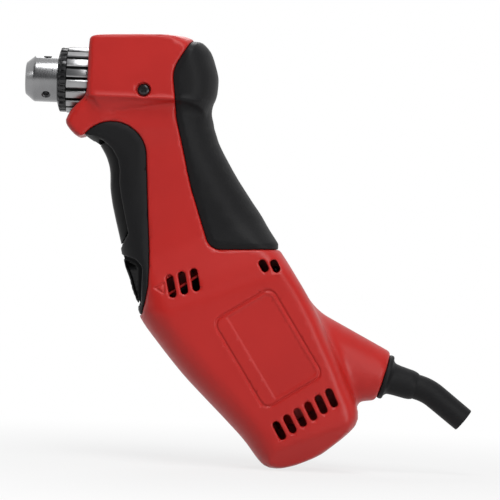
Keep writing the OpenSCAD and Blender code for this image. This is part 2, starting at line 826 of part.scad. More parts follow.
module rear_grip_zone(grow) {
    last = len(rear_grip_shares) - 1;
    for (i = [0:last - 1])
        hull() {
            disc(rear_grip_shares[i], motor_rear, grow);
            disc(rear_grip_shares[i + 1], motor_rear, grow);
        }
    hull() {
        disc(rear_grip_shares[last], motor_rear, grow);
        for (q = rear_grip_corner_shares)
            disc(q, motor_rear, grow);
    }
}

// Housing half on the +Y side before its own screw holes
module housing_half() {
    difference() {
        union() {
            outer_half(0);
            boss_half();
        }
        room_half();
        difference() {
            union() {
                front_grip_zone(0);
                rear_grip_zone(0);
            }
            outer_half(grip_wall);
        }
        openings();
        vents_half();
        on_spindle(case_nose_x - over)
            cylinder(cover_end_x - case_nose_x + 2 * over, r = case_r + fit_gap);
        on_spindle(side_screw_x)
            translate([-side_screw_z, 0, 0])
                rotate([-90, 0, 0]) {
                    cylinder(far, r = side_screw_r + fit_gap, $fn = small_fn);
                    translate([0, 0, side_screw_seat])
                        cylinder(far, r = side_recess_r, $fn = small_fn);
                }
    }
}

module screw_holes(r, from, to) {
    for (q = screw_spot_shares)
        on_motor(q[0] * body_reach)
            translate([q[1] * motor_front, 0, 0])
                rotate([-90, 0, 0])
                    translate([0, 0, from]) cylinder(to - from, r = r, $fn = small_fn);
}

module housing_left() {
    color("firebrick") mirror([0, 1, 0]) difference() {
        housing_half();
        screw_holes(screw_hole_r, -over, screw_tip + over);
    }
}

module housing_right() {
    color("firebrick") difference() {
        housing_half();
        screw_holes(screw_hole_r, -over, far);
        screw_holes(screw_well_r, screw_seat, far);
    }
}

// A rubber grip on the +Y side, as thick as its pocket less the fit
module grip_skin() {
    difference() {
        intersection() {
            outer_half(0);
            children();
        }
        outer_half(grip_wall - fit_gap);
        openings();
        translate([0, -far + fit_gap, 0]) translate([-far, 0, -far]) cube([2 * far, far, 2 * far]);
    }
}

module front_grip_left() {
    color("dimgray") mirror([0, 1, 0]) grip_skin() front_grip_zone(-fit_gap);
}

module front_grip_right() {
    color("dimgray") difference() {
        grip_skin() front_grip_zone(-fit_gap);
        screw_holes(screw_well_r, screw_seat, far);
    }
}

module rear_grip_left() {
    color("dimgray") mirror([0, 1, 0]) grip_skin() rear_grip_zone(-fit_gap);
}

module rear_grip_right() {
    color("dimgray") grip_skin() rear_grip_zone(-fit_gap);
}

module housing_screws() {
    color("gray") for (q = screw_spot_shares)
        on_motor(q[0] * body_reach)
            translate([q[1] * motor_front, 0, 0])
                rotate([-90, 0, 0]) {
                    translate([0, 0, -screw_tip])
                        cylinder(screw_tip + screw_seat + over, r = screw_shank_r);
                    translate([0, 0, screw_seat]) cylinder(screw_cap, r = screw_cap_r);
                }
}

// Gear case round the bevel pair, with the layshaft's neck below
module gear_case() {
    color("lightgray") difference() {
        union() {
            on_spindle(0) rotate_extrude() polygon([
                [case_lip_r, case_nose_x], [case_nose_r, case_nose_x],
                [case_nose_r, case_room_x - bearing_step], [case_r, case_cone_x],
                [case_r, case_end_x], [case_lip_r, case_end_x]
            ]);
            on_layshaft(neck_from) cylinder(neck_to - neck_from, r = neck_r);
        }
        on_spindle(0) {
            translate([0, 0, front_bearing_x])
                cylinder(front_bearing_w, r = front_bearing_r + run_gap);
            translate([0, 0, front_bearing_x]) cylinder(case_room_x - front_bearing_x, r = case_step_r);
        }
        difference() {
            on_spindle(case_room_x)
                cylinder(case_end_x - case_room_x + over, r = case_r - case_wall);
            for (k = [0:lug_count - 1])
                on_spindle(lug_x)
                    rotate(45 + 360 * k / lug_count)
                        translate([lug_ring_r, 0, 0]) cylinder(lug_len, r = lug_r);
        }
        for (k = [0:lug_count - 1])
            on_spindle(case_end_x - lug_screw)
                rotate(45 + 360 * k / lug_count)
                    translate([lug_ring_r, 0, 0]) cylinder(lug_len, r = lug_hole_r + run_gap);
        on_layshaft(pinion_room_from) cylinder(neck_to, r = pinion_room_r);
        on_layshaft(lay_bearing_t) cylinder(neck_to, r = lay_bearing_r + run_gap);
        on_spindle(side_screw_x)
            translate([-side_screw_z, 0, 0])
                rotate([-90, 0, 0])
                    cylinder(far, r = side_screw_r + run_gap, center = true);
    }
}

module gear_case_cover() {
    color("lightgray") difference() {
        on_spindle(case_end_x) {
            cylinder(cover_plate, r = case_r);
            cylinder(cover_end_x - case_end_x, r = cover_boss_r);
        }
        on_layshaft(neck_from) cylinder(neck_to, r = neck_r + fit_gap);
        on_spindle(case_end_x - over) cylinder(bush_x - case_end_x + over, r = bevel_hub_r);
        on_spindle(bush_x) cylinder(bush_len, r = spindle_tail_r + bush_wall + run_gap);
        for (k = [0:lug_count - 1])
            on_spindle(case_end_x - over)
                rotate(45 + 360 * k / lug_count)
                    translate([lug_ring_r, 0, 0])
                        cylinder(cover_plate + 2 * over, r = lug_hole_r + run_gap);
    }
}

module cover_screws() {
    color("gray") for (k = [0:lug_count - 1])
        on_spindle(0)
            rotate(45 + 360 * k / lug_count)
                translate([lug_ring_r, 0, 0]) {
                    translate([0, 0, case_end_x - lug_screw])
                        cylinder(lug_screw + cover_plate + over, r = lug_hole_r);
                    translate([0, 0, case_end_x + cover_plate]) cylinder(lug_cap, r = lug_cap_r);
                }
}

module gear_case_screws() {
    color("gray") for (side = [-90, 90])
        on_spindle(side_screw_x)
            translate([-side_screw_z, 0, 0])
                rotate([side, 0, 0]) {
                    translate([0, 0, side_screw_tip])
                        cylinder(side_screw_seat - side_screw_tip + over, r = side_screw_r);
                    translate([0, 0, side_screw_seat])
                        cylinder(side_screw_head, r = side_screw_head_r);
                }
}

module spindle() {
    color("silver") on_spindle(0) difference() {
        union() {
            translate([0, 0, socket_x + run_gap])
                cylinder(chuck_end - socket_x, r = thread_r - run_gap);
            translate([0, 0, chuck_end]) cylinder(front_bearing_x - chuck_end, r = spindle_flange_r);
            translate([0, 0, front_bearing_x])
                cylinder(case_end_x + ring_room - front_bearing_x, r = spindle_r);
            translate([0, 0, case_end_x]) cylinder(bush_x + bush_len - case_end_x, r = spindle_tail_r);
        }
        translate([0, 0, socket_x]) cylinder(screw_tip_x + screw_end_room - socket_x, r = screw_r + run_gap);
    }
}

// Half width of a tooth flank on a virtual spur gear of pitch radius rp, at height h
function inv(a) = tan(a) * 180 / PI - a;
function flank_angle(rp, teeth, shift, r) = let(
    base = rp * cos(pressure_angle),
    a = r > base ? acos(base / r) : 0
) 90 / teeth + 2 * shift * tan(pressure_angle) / teeth * 180 / PI + inv(pressure_angle) - inv(a);

// Outline of a spur gear with a tooth on the +X line
function spur_outline(teeth, module_, shift) = let(
    rp = module_ * teeth / 2,
    tip = rp + (1 + shift) * module_,
    root = rp - (root_share - shift) * module_,
    base = max(rp * cos(pressure_angle), root),
    radii = [root, base, (base + tip) / 2, tip - tip_share * module_]
) [for (k = [0:teeth - 1]) each concat(
    [for (r = radii) let(a = 360 * k / teeth
        - max(flank_angle(rp, teeth, shift, r) - tooth_slack / r * 180 / PI, least_angle))
        [r * cos(a), r * sin(a)]],
    [for (i = [3:-1:0]) let(r = radii[i], a = 360 * k / teeth
        + max(flank_angle(rp, teeth, shift, r) - tooth_slack / r * 180 / PI, least_angle))
        [r * cos(a), r * sin(a)]]
)];

// Outline of a bevel gear in the plane of its large end: each flank is taken from the spur gear
// of the back cone and drawn along the line to the apex
function bevel_outline(teeth, cone) = let(
    rp = bevel_module * teeth / 2,
    apex = rp / tan(cone),
    virtual_r = rp / cos(cone),
    virtual_teeth = teeth / cos(cone),
    heights = tooth_height_shares
) [for (k = [0:teeth - 1]) each [for (i = [0, 1, 2, 3, 7, 6, 5, 4]) let(
    side = i > 3 ? 1 : -1,
    h = heights[i % 4] * bevel_module,
    r = virtual_r + h,
    flank = max(flank_angle(virtual_r, virtual_teeth, 0, r) * PI / 180 * r - tooth_slack, fit_gap),
    own_r = rp + h * cos(cone),
    a = 360 * k / teeth + side * flank / own_r * 180 / PI,
    out = own_r * apex / (apex - h * sin(cone))
) [out * cos(a), out * sin(a)]]];

module bevel_gear() {
    tooth_len = bevel_face * cos(gear_cone);
    color("darkgray") on_spindle(bevel_back_x) difference() {
        union() {
            mirror([0, 0, 1])
                linear_extrude(tooth_len, scale = 1 - bevel_face / cone_reach)
                    polygon(bevel_outline(bevel_gear_teeth, gear_cone));
            cylinder(bevel_web, r = bevel_pitch_r - 2 * bevel_module);
            cylinder(bevel_hub, r = bevel_hub_r);
        }
        translate([0, 0, -tooth_len - over])
            cylinder(tooth_len + bevel_hub + 2 * over, r = spindle_r + run_gap);
    }
}

module spindle_ring() {
    color("dimgray") on_spindle(case_end_x + run_gap) difference() {
        ring(spindle_ring_r, spindle_r + run_gap, spindle_ring_w);
        translate([0, -spindle_ring_split / 2, -over])
            cube([far, spindle_ring_split, spindle_ring_w + 2 * over]);
    }
}

module spindle_front_bearing() {
    color("silver") on_spindle(front_bearing_x)
        ball_bearing(spindle_r, front_bearing_r, front_bearing_w, 9);
}

module spindle_rear_bush() {
    color("peru") on_spindle(bush_x)
        ring(spindle_tail_r + bush_wall, spindle_tail_r + run_gap, bush_len);
}

module layshaft() {
    tooth_len = bevel_face * cos(pinion_cone);
    color("silver") {
        on_layshaft(pinion_back_t)
            mirror([0, 0, 1])
                linear_extrude(tooth_len, scale = 1 - bevel_face / cone_reach)
                    polygon(bevel_outline(bevel_pinion_teeth, pinion_cone));
        on_layshaft(pinion_back_t + collar_gap) cylinder(collar_w, r = collar_r);
        on_layshaft(pinion_back_t)
            cylinder(plate_from + plate_w - apex_s - pinion_back_t, r = layshaft_r);
    }
}

module first_stage_gear() {
    color("darkgray") difference() {
        on_layshaft(stage_from - apex_s) {
            linear_extrude(spur_face)
                polygon(spur_outline(stage_gear_teeth, spur_module, -pinion_shift_share));
            translate([0, 0, -stage_hub]) cylinder(spur_face + 2 * stage_hub, r = stage_hub_r);
        }
        on_layshaft(0) cylinder(far, r = layshaft_r + run_gap);
    }
}

module layshaft_bearing() {
    color("silver") on_layshaft(lay_bearing_t)
        ball_bearing(layshaft_r, lay_bearing_r, lay_bearing_w, 8);
}

module layshaft_bush() {
    color("peru") on_motor(plate_from + plate_lip)
        translate([-stage_offset, 0, 0]) ring(lay_bush_r, layshaft_r + run_gap, bush_w);
}

module bearing_plate() {
    color("lightgray") on_motor(plate_from) difference() {
        translate([plate_front, 0, 0]) cylinder(plate_w, r = plate_r);
        translate([0, 0, plate_floor]) cylinder(plate_w, r = armature_bearing_r + run_gap);
        translate([0, 0, -over]) cylinder(plate_w, r = armature_shaft_r + plate_shaft_gap);
        translate([-stage_offset, 0, plate_lip]) cylinder(plate_w, r = lay_bush_r + run_gap);
        translate([-stage_offset, 0, -over]) cylinder(plate_w, r = layshaft_r + plate_lip);
    }
}

module armature_shaft() {
    color("silver") {
        on_motor(stage_from)
            linear_extrude(spur_face)
                polygon(spur_outline(motor_pinion_teeth, spur_module, pinion_shift_share));
        on_motor(stage_from + spur_face)
            cylinder(shaft_end - stage_from - spur_face, r = armature_shaft_r);
        on_motor(plate_from + plate_w + shoulder)
            cylinder(rear_bearing_from - plate_from - plate_w - 2 * shoulder, r = shaft_mid_r);
    }
}

module armature_core() {
    color("slategray") on_motor(core_from) difference() {
        ring(armature_r, shaft_mid_r + run_gap, core_len);
        for (k = [0:core_slots - 1])
            rotate(360 * k / core_slots)
                translate([armature_r - slot_depth, -slot_w / 2, -over])
                    cube([slot_depth + over, slot_w, core_len + 2 * over]);
    }
}

module winding_end() {
    rotate_extrude() polygon([
        [winding_in_r, winding_gap], [armature_r - winding_inset, winding_gap],
        [armature_r - winding_inset, winding_len * winding_knee_share],
        [armature_r - winding_slope, winding_len], [winding_in_r, winding_len]
    ]);
}

module armature_windings() {
    color("sienna") {
        on_motor(core_from + core_len) winding_end();
        on_motor(core_from) mirror([0, 0, 1]) winding_end();
    }
}

module commutator() {
    color("peru") on_motor(commutator_from) difference() {
        ring(commutator_r, shaft_mid_r + run_gap, commutator_len);
        for (k = [0:commutator_bars - 1])
            rotate(360 * k / commutator_bars)
                translate([commutator_r - bar_depth, -bar_slit / 2, -over])
                    cube([2 * bar_depth, bar_slit, commutator_len + 2 * over]);
    }
}

module fan() {
    color("ivory") on_motor(fan_from) difference() {
        union() {
            cylinder(fan_w, r = fan_hub_r);
            translate([0, 0, fan_w - fan_disc]) cylinder(fan_disc, r = fan_r);
            for (k = [0:fan_blades - 1])
                rotate(360 * k / fan_blades)
                    translate([fan_hub_r - over, -fan_blade / 2, 0])
                        cube([fan_r - fan_hub_r, fan_blade, fan_w]);
        }
        translate([0, 0, -over]) cylinder(fan_w + 2 * over, r = shaft_mid_r + run_gap);
    }
}

module armature_front_bearing() {
    color("silver") on_motor(plate_from + plate_floor)
        ball_bearing(armature_shaft_r, armature_bearing_r, small_bearing_w, 7);
}

module armature_rear_bearing() {
    color("silver") on_motor(rear_bearing_from)
        ball_bearing(armature_shaft_r, armature_bearing_r, small_bearing_w, 7);
}

module coil_room(from, to, inner, outer, reach) {
    for (side = [-1, 1])
        translate([0, 0, from]) intersection() {
            ring(outer, inner, to - from);
            translate([-reach, side > 0 ? 0 : -far, -over]) cube([2 * reach, far, to - from + 2 * over]);
        }
}

module field_core() {
    color("slategray") on_motor(field_from) difference() {
        ring(field_r, armature_r + armature_gap, field_len);
        coil_room(-over, field_len + over, armature_r, coil_out_r + coil_fit, coil_to_f + coil_fit);
    }
}

// Two coils, each a pair of legs through the iron joined round a pole at both ends
module field_coils() {
    color("sienna") on_motor(field_from) for (side = [0, 180])
        rotate(side) {
            intersection() {
                translate([0, 0, -coil_end]) ring(coil_out_r, coil_in_r, field_len + 2 * coil_end);
                translate([coil_from_f, -far / 2, -coil_end])
                    cube([coil_to_f - coil_from_f, far, field_len + 2 * coil_end]);
            }
            for (z = [-coil_end, field_len + coil_lift])
                intersection() {
                    translate([0, 0, z]) ring(coil_out_r, coil_in_r, coil_end - coil_lift);
                    translate([coil_from_f, -far / 2, z]) cube([far, far, coil_end - coil_lift]);
                }
        }
}

module brush_places() {
    on_motor(brush_s) for (side = [0, 180])
        rotate(side) children();
}

module brush_card() {
    color("tan") on_motor(brush_s + brush_h / 2 + holder_wall) ring(card_r, card_hole_r, card_w);
}

module brush_holders() {
    color("goldenrod") brush_places() difference() {
        translate([holder_from, -brush_w / 2 - holder_wall, -brush_h / 2 - holder_wall])
            cube([holder_to - holder_from, brush_w + 2 * holder_wall, brush_h + 2 * holder_wall]);
        translate([holder_from - over, -brush_w / 2 - fit_gap, -brush_h / 2 - fit_gap])
            cube([holder_to - holder_from + 2 * over, brush_w + 2 * fit_gap, brush_h + 2 * fit_gap]);
    }
}

module brushes() {
    color("black") brush_places()
        translate([commutator_r + run_gap, -brush_w / 2, -brush_h / 2])
            cube([brush_to - commutator_r, brush_w, brush_h]);
}

module brush_springs() {
    color("silver") brush_places()
        translate([brush_to + run_gap + spring_r + fit_gap, 0, -brush_h / 2 + spring_inset])
            ring(spring_r, spring_r / 2, brush_h - 2 * spring_inset);
}

module switch_body() {
    color("darkslategray") at_switch() difference() {
        translate([-switch_deep, -switch_half, 0]) cube([switch_deep, 2 * switch_half, switch_len]);
        translate([-plunger_room, 0, plunger_down])
            rotate([0, 90, 0]) cylinder(plunger_room + over, r = plunger_r + run_gap);
    }
}

module switch_plunger() {
    color("ivory") at_switch()
        translate([-plunger_in, 0, plunger_down])
            rotate([0, 90, 0]) {
                cylinder(plunger_in + plunger_out - plunger_r, r = plunger_r);
                translate([0, 0, plunger_in + plunger_out - plunger_r]) sphere(plunger_r);
            }
}

module trigger() {
    color("black") difference() {
        union() {
            loft([for (q = trigger_row_shares) full_section(trigger_rung(q))]);
            hull() {
                on_motor(trigger_pin_s)
                    translate([trigger_pin_f, 0, 0])
                        rotate([90, 0, 0])
                            cylinder(2 * trigger_half, r = lug_eye_r, center = true, $fn = small_fn);
                on_motor(lug_root_shares[0] * body_reach)
                    translate([lug_root_shares[1] * motor_front, 0, 0])
                        rotate([90, 0, 0])
                            cylinder(2 * trigger_half, r = lug_root_r, center = true, $fn = small_fn);
            }
        }
        on_motor(trigger_pin_s)
            translate([trigger_pin_f, 0, 0])
                rotate([90, 0, 0]) cylinder(far, r = trigger_pin_r + run_gap, center = true);
    }
}

module trigger_pin() {
    color("silver") on_motor(trigger_pin_s)
        translate([trigger_pin_f, 0, 0])
            rotate([90, 0, 0]) cylinder(2 * trigger_pin_half, r = trigger_pin_r, center = true);
}

module reversing_lever() {
    color("black") {
        intersection() {
            lever_prism(lever_outline_shares, lever_top_r + over);
            at_lever() hull() {
                rotate([0, -90, 0]) cylinder(2 * lever_depth, r = lever_top_r, $fn = 32);
                translate([0, 0, lever_low_r - lever_drop])
                    rotate([0, -90, 0]) cylinder(2 * lever_depth, r = lever_low_r, $fn = 32);
            }
            at_lever()
                translate([-far - lever_gap, -far / 2, -far / 2]) cube([far, far, far]);
        }
        at_lever()
            translate([-lever_gap - over, 0, 0])
                rotate([0, 90, 0]) cylinder(lever_stud + lever_gap + over, r = lever_stud_r);
    }
}

module lever_ring() {
    color("silver") at_lever()
        translate([lever_wall + seat_gap, 0, 0])
            rotate([0, 90, 0]) ring(lever_ring_r, lever_stud_r + run_gap, lever_ring_w);
}

// Bend relief: plug in the boss, flange, thick sleeve and a bent tip round an open passage
module boot_stem(plug_r, flange_r, sleeve, tip, from) {
    on_boss(0) {
        translate([0, 0, -from]) cylinder(from, r = plug_r);
        cylinder(boot_flange, r = flange_r);
        cylinder(boot_sleeve, r = sleeve);
        translate([0, 0, boot_sleeve]) cylinder(boot_step, r1 = sleeve, r2 = tip);
    }
    on_boss(boot_sleeve + boot_step)
        translate([boot_bend_r, 0, 0])
            rotate([90, 0, 180])
                rotate_extrude(angle = boot_bend) translate([boot_bend_r, 0]) circle(tip);
}

module boot_end(from, to, r) {
    on_boss(boot_sleeve + boot_step)
        translate([boot_bend_r, 0, 0])
            rotate([0, boot_bend, 0])
                translate([-boot_bend_r, 0, from]) cylinder(to - from, r = r);
}

module cord_boot() {
    color("dimgray") difference() {
        union() {
            boot_stem(boot_plug_r, boot_flange_r, boot_sleeve_r, boot_tip_r, boot_plug);
            boot_end(-boot_lap, boot_tip, boot_tip_r + boot_lip);
        }
        boot_stem(cord_r, cord_r, cord_r, cord_r, boot_plug + over);
        boot_end(-over, boot_tip + over, cord_r + mouth_step);
    }
}

// Solids of the chuck, on the spindle axis with the nose at zero
module jaw_bore(k, r, from, to) {
    on_spindle(0)
        rotate(jaw_angles[k])
            translate([jaw_rho, 0, 0])
                rotate([0, jaw_lean, 0])
                    translate([0, 0, from]) cylinder(to - from, r = r);
}

module chuck_body() {
    color("silver") difference() {
        on_spindle(0) rotate_extrude() polygon([
            [0, 0], [nose_face_r, 0], [nose_r, nose_chamfer], [nose_r, nut_x - nut_gap],
            [groove_r, nut_x - nut_gap], [groove_r, nut_x + nut_len + nut_gap],
            [body_r, nut_x + nut_len + nut_gap], [body_r, hub_x - hub_taper],
            [hub_r, hub_x], [hub_r, chuck_end], [0, chuck_end]
        ]);
        on_spindle(-over) cylinder(bit_depth + over, r = bit_r);
        on_spindle(0) {
            cylinder(screw_seat_x, r = screw_head_r + screw_play);
            cylinder(chuck_end, r = screw_r + screw_play);
            translate([0, 0, socket_x]) cylinder(chuck_end, r = thread_r);
        }
        for (k = [0:2])
            jaw_bore(k, jaw_r + run_gap, jaw_start, jaw_bore_to / cos(jaw_lean));
        for (a = key_angles)
            on_spindle(key_hole_x)
                rotate(a)
                    translate([key_hole_to, 0, 0])
                        rotate([0, 90, 0]) cylinder(nose_r, r = key_hole_r);
    }
}

module chuck_sleeve() {
    color("silver") difference() {
        on_spindle(0) rotate_extrude() polygon([
            [nose_r + run_gap, ring_x], [ring_lip_r, ring_x], [ring_r, ring_x + ring_cone],
            [ring_r, ring_x + ring_w], [sleeve_r, ring_x + ring_w], [sleeve_r, sleeve_end],
            [body_r + run_gap, sleeve_end], [body_r + run_gap, nut_x - lip_gap],
            [nose_r + run_gap, nut_x - lip_gap]
        ]);
        for (k = [0:ring_teeth - 1])
            on_spindle(ring_x)
                rotate(360 * k / ring_teeth)
                    translate([ring_lip_r + tooth_in, 0, 0])
                        rotate([0, tooth_lean, 45])
                            translate([-tooth_side / 2, -tooth_side / 2, 0])
                                cube([tooth_side, tooth_side, tooth_len]);
        for (k = [0:sleeve_flutes - 1])
            on_spindle(ring_x + ring_w)
                rotate(360 * k / sleeve_flutes)
                    translate([sleeve_r - flute_depth, -flute_w / 2, 0])
                        cube([2 * flute_depth, flute_w, sleeve_end]);
    }
}

module chuck_nut() {
    lean = tan(jaw_lean);
    near_r = jaw_rho + nut_x * lean + jaw_r / cos(jaw_lean) + jaw_play;
    color("gray") on_spindle(nut_x) rotate_extrude() polygon([
        [near_r, 0], [body_r - run_gap, 0], [body_r - run_gap, nut_len], [near_r + nut_len * lean, nut_len]
    ]);
}

module chuck_jaw(k) {
    spread = 4 * jaw_r;
    color("gray") intersection() {
        jaw_bore(k, jaw_r, jaw_start, jaw_back / cos(jaw_lean));
        on_spindle(jaw_from)
            rotate(jaw_angles[k])
                linear_extrude(far)
                    polygon([
                        [jaw_open, jaw_land], [jaw_open, -jaw_land],
                        [jaw_open + spread, -jaw_land - spread * jaw_spread_share],
                        [jaw_open + spread, jaw_land + spread * jaw_spread_share]
                    ]);
    }
}

module chuck_jaw_1() {
    chuck_jaw(0);
}

module chuck_jaw_2() {
    chuck_jaw(1);
}

module chuck_jaw_3() {
    chuck_jaw(2);
}

module chuck_screw() {
    color("dimgray") on_spindle(0) {
        translate([0, 0, screw_seat_x - screw_head]) cylinder(screw_head, r = screw_head_r);
        translate([0, 0, screw_seat_x]) cylinder(screw_tip_x - screw_seat_x, r = screw_r);
    }
}

housing_left();
housing_right();
front_grip_left();
front_grip_right();
rear_grip_left();
rear_grip_right();
housing_screws();
gear_case();
gear_case_cover();
cover_screws();
gear_case_screws();
spindle();
bevel_gear();
spindle_ring();
spindle_front_bearing();
spindle_rear_bush();
layshaft();
first_stage_gear();
layshaft_bearing();
layshaft_bush();
bearing_plate();
armature_shaft();
armature_core();
armature_windings();
commutator();
fan();
armature_front_bearing();
armature_rear_bearing();
field_core();
field_coils();
brush_card();
brush_holders();
brushes();
brush_springs();
switch_body();
switch_plunger();
trigger();
trigger_pin();
reversing_lever();
lever_ring();
cord_boot();
chuck_body();
chuck_sleeve();
chuck_nut();
chuck_jaw_1();
chuck_jaw_2();
chuck_jaw_3();
chuck_screw();
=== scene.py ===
import functools
import json
import math

import bmesh
import bpy
import numpy as np
import openvdb
from mathutils import Matrix, Vector


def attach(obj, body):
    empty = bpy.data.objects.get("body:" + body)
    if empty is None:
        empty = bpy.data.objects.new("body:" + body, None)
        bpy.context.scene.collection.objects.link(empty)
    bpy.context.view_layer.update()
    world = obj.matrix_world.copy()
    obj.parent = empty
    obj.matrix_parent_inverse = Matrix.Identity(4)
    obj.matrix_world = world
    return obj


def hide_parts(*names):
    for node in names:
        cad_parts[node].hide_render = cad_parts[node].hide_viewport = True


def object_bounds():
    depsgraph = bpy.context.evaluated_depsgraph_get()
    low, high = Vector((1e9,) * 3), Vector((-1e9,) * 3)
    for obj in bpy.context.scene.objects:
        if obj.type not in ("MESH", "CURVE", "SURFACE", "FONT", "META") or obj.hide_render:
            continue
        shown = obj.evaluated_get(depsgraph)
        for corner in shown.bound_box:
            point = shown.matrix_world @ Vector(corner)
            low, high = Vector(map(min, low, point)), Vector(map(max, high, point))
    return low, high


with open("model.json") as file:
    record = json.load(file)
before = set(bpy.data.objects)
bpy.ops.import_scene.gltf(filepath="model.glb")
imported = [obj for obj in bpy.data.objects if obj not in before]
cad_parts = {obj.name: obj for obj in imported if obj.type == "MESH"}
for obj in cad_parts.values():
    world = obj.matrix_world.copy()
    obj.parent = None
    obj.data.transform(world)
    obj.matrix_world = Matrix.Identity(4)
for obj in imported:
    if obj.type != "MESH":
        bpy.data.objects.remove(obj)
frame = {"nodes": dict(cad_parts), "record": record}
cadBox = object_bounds()
scene = bpy.context.scene
nodes = frame["nodes"]
mm = 0.001

# the drive line: spindle along X, motor axis falling to the rear
drive = {"angle": 55.0, "cross": 35.0, "reach": 269.0}
cosA, sinA = math.cos(math.radians(drive["angle"])), math.sin(math.radians(drive["angle"]))


def onAxis(s, f):
    return np.stack([drive["cross"] + s * cosA - f * sinA, -s * sinA - f * cosA], -1)


def addObject(name, data):
    item = bpy.data.objects.new(name, data)
    scene.collection.objects.link(item)
    return item


def plainMesh(item):
    # the object's mesh with its modifiers applied
    graph = bpy.context.evaluated_depsgraph_get()
    return bpy.data.meshes.new_from_object(item.evaluated_get(graph))


# camera square to the tool's side, turned a little as the picture is
look = {"centre": (140.73, -99.05), "wide": 305.0, "away": 1900.0, "roll": 2.4}
camData = bpy.data.cameras.new("sideCamera")
camera = addObject("sideCamera", camData)
camData.sensor_width = 36
camData.lens = 36 * look["away"] / look["wide"]
camData.clip_start, camData.clip_end = 0.05, 50
roll = math.radians(look["roll"])
camera.matrix_world = Matrix((
    (math.cos(roll), -math.sin(roll), 0, look["centre"][0] * mm),
    (0, 0, -1, -look["away"] * mm),
    (math.sin(roll), math.cos(roll), 0, look["centre"][1] * mm),
    (0, 0, 0, 1)))
scene.camera = camera
scene.view_settings.view_transform = "Standard"
print("camera set")

# materials


def addNode(tree, kind, inputs, **settings):
    # a node with its settings, and its inputs as values or as links from other sockets
    node = tree.nodes.new(kind)
    for name, value in settings.items():
        setattr(node, name, value)
    for key, value in inputs.items():
        if isinstance(value, bpy.types.NodeSocket):
            tree.links.new(value, node.inputs[key])
        else:
            node.inputs[key].default_value = value
    return node


def objectPlace(tree):
    return tree.nodes.new("ShaderNodeTexCoord").outputs["Object"]


def addNoise(tree, place, scale, detail):
    return addNode(tree, "ShaderNodeTexNoise", {"Vector": place, "Scale": scale, "Detail": detail}).outputs["Fac"]


def grainyMaterial(name, low, high, rough, roughSpread, grain, grainDepth, metal=0.0, cloud=22.0,
                   stretch=None):
    mat = bpy.data.materials.new(name)
    mat.use_nodes = True
    tree = mat.node_tree
    shader = tree.nodes["Principled BSDF"]
    for key, value in (("Base Color", (*low, 1)), ("Roughness", rough), ("Metallic", metal)):
        shader.inputs[key].default_value = value
    place = objectPlace(tree)
    ramp = addNode(tree, "ShaderNodeValToRGB", {"Fac": addNoise(tree, place, cloud, 3.0)})
    for stop, at, colour in zip(ramp.color_ramp.elements, (0.3, 0.7), (low, high)):
        stop.position, stop.color = at, (*colour, 1)
    if stretch:
        place = addNode(tree, "ShaderNodeMapping", {"Vector": place, "Scale": stretch}).outputs["Vector"]
    grainFac = addNoise(tree, place, grain, 2.0)
    span = addNode(tree, "ShaderNodeMapRange", {
        "Value": grainFac, "To Min": rough - roughSpread, "To Max": rough + roughSpread})
    bump = addNode(tree, "ShaderNodeBump", {"Height": grainFac, "Strength": 0.35, "Distance": grainDepth})
    tree.links.new(ramp.outputs["Color"], shader.inputs["Base Color"])
    tree.links.new(span.outputs["Result"], shader.inputs["Roughness"])
    tree.links.new(bump.outputs["Normal"], shader.inputs["Normal"])
    return mat, shader


def paintFluteShade(shader, tree, low, high):
    # painted shade in the flute grooves: near-black below a radius from the spindle, in metres
    flat = addNode(tree, "ShaderNodeVectorMath", {0: objectPlace(tree), 1: (0, 1, 1)}, operation="MULTIPLY")
    length = addNode(tree, "ShaderNodeVectorMath", {0: flat.outputs["Vector"]}, operation="LENGTH")
    span = addNode(tree, "ShaderNodeMapRange", {
        "Value": length.outputs["Value"], "From Min": low, "From Max": high})
    # the near-black colour is painted shade on the groove floors, fading out to the steel's own colour
    mix = addNode(tree, "ShaderNodeMix", {
        "Factor": span.outputs["Result"], "A": (0.006, 0.006, 0.006, 1),
        "B": shader.inputs["Base Color"].links[0].from_socket}, data_type="RGBA")
    tree.links.new(mix.outputs["Result"], shader.inputs["Base Color"])


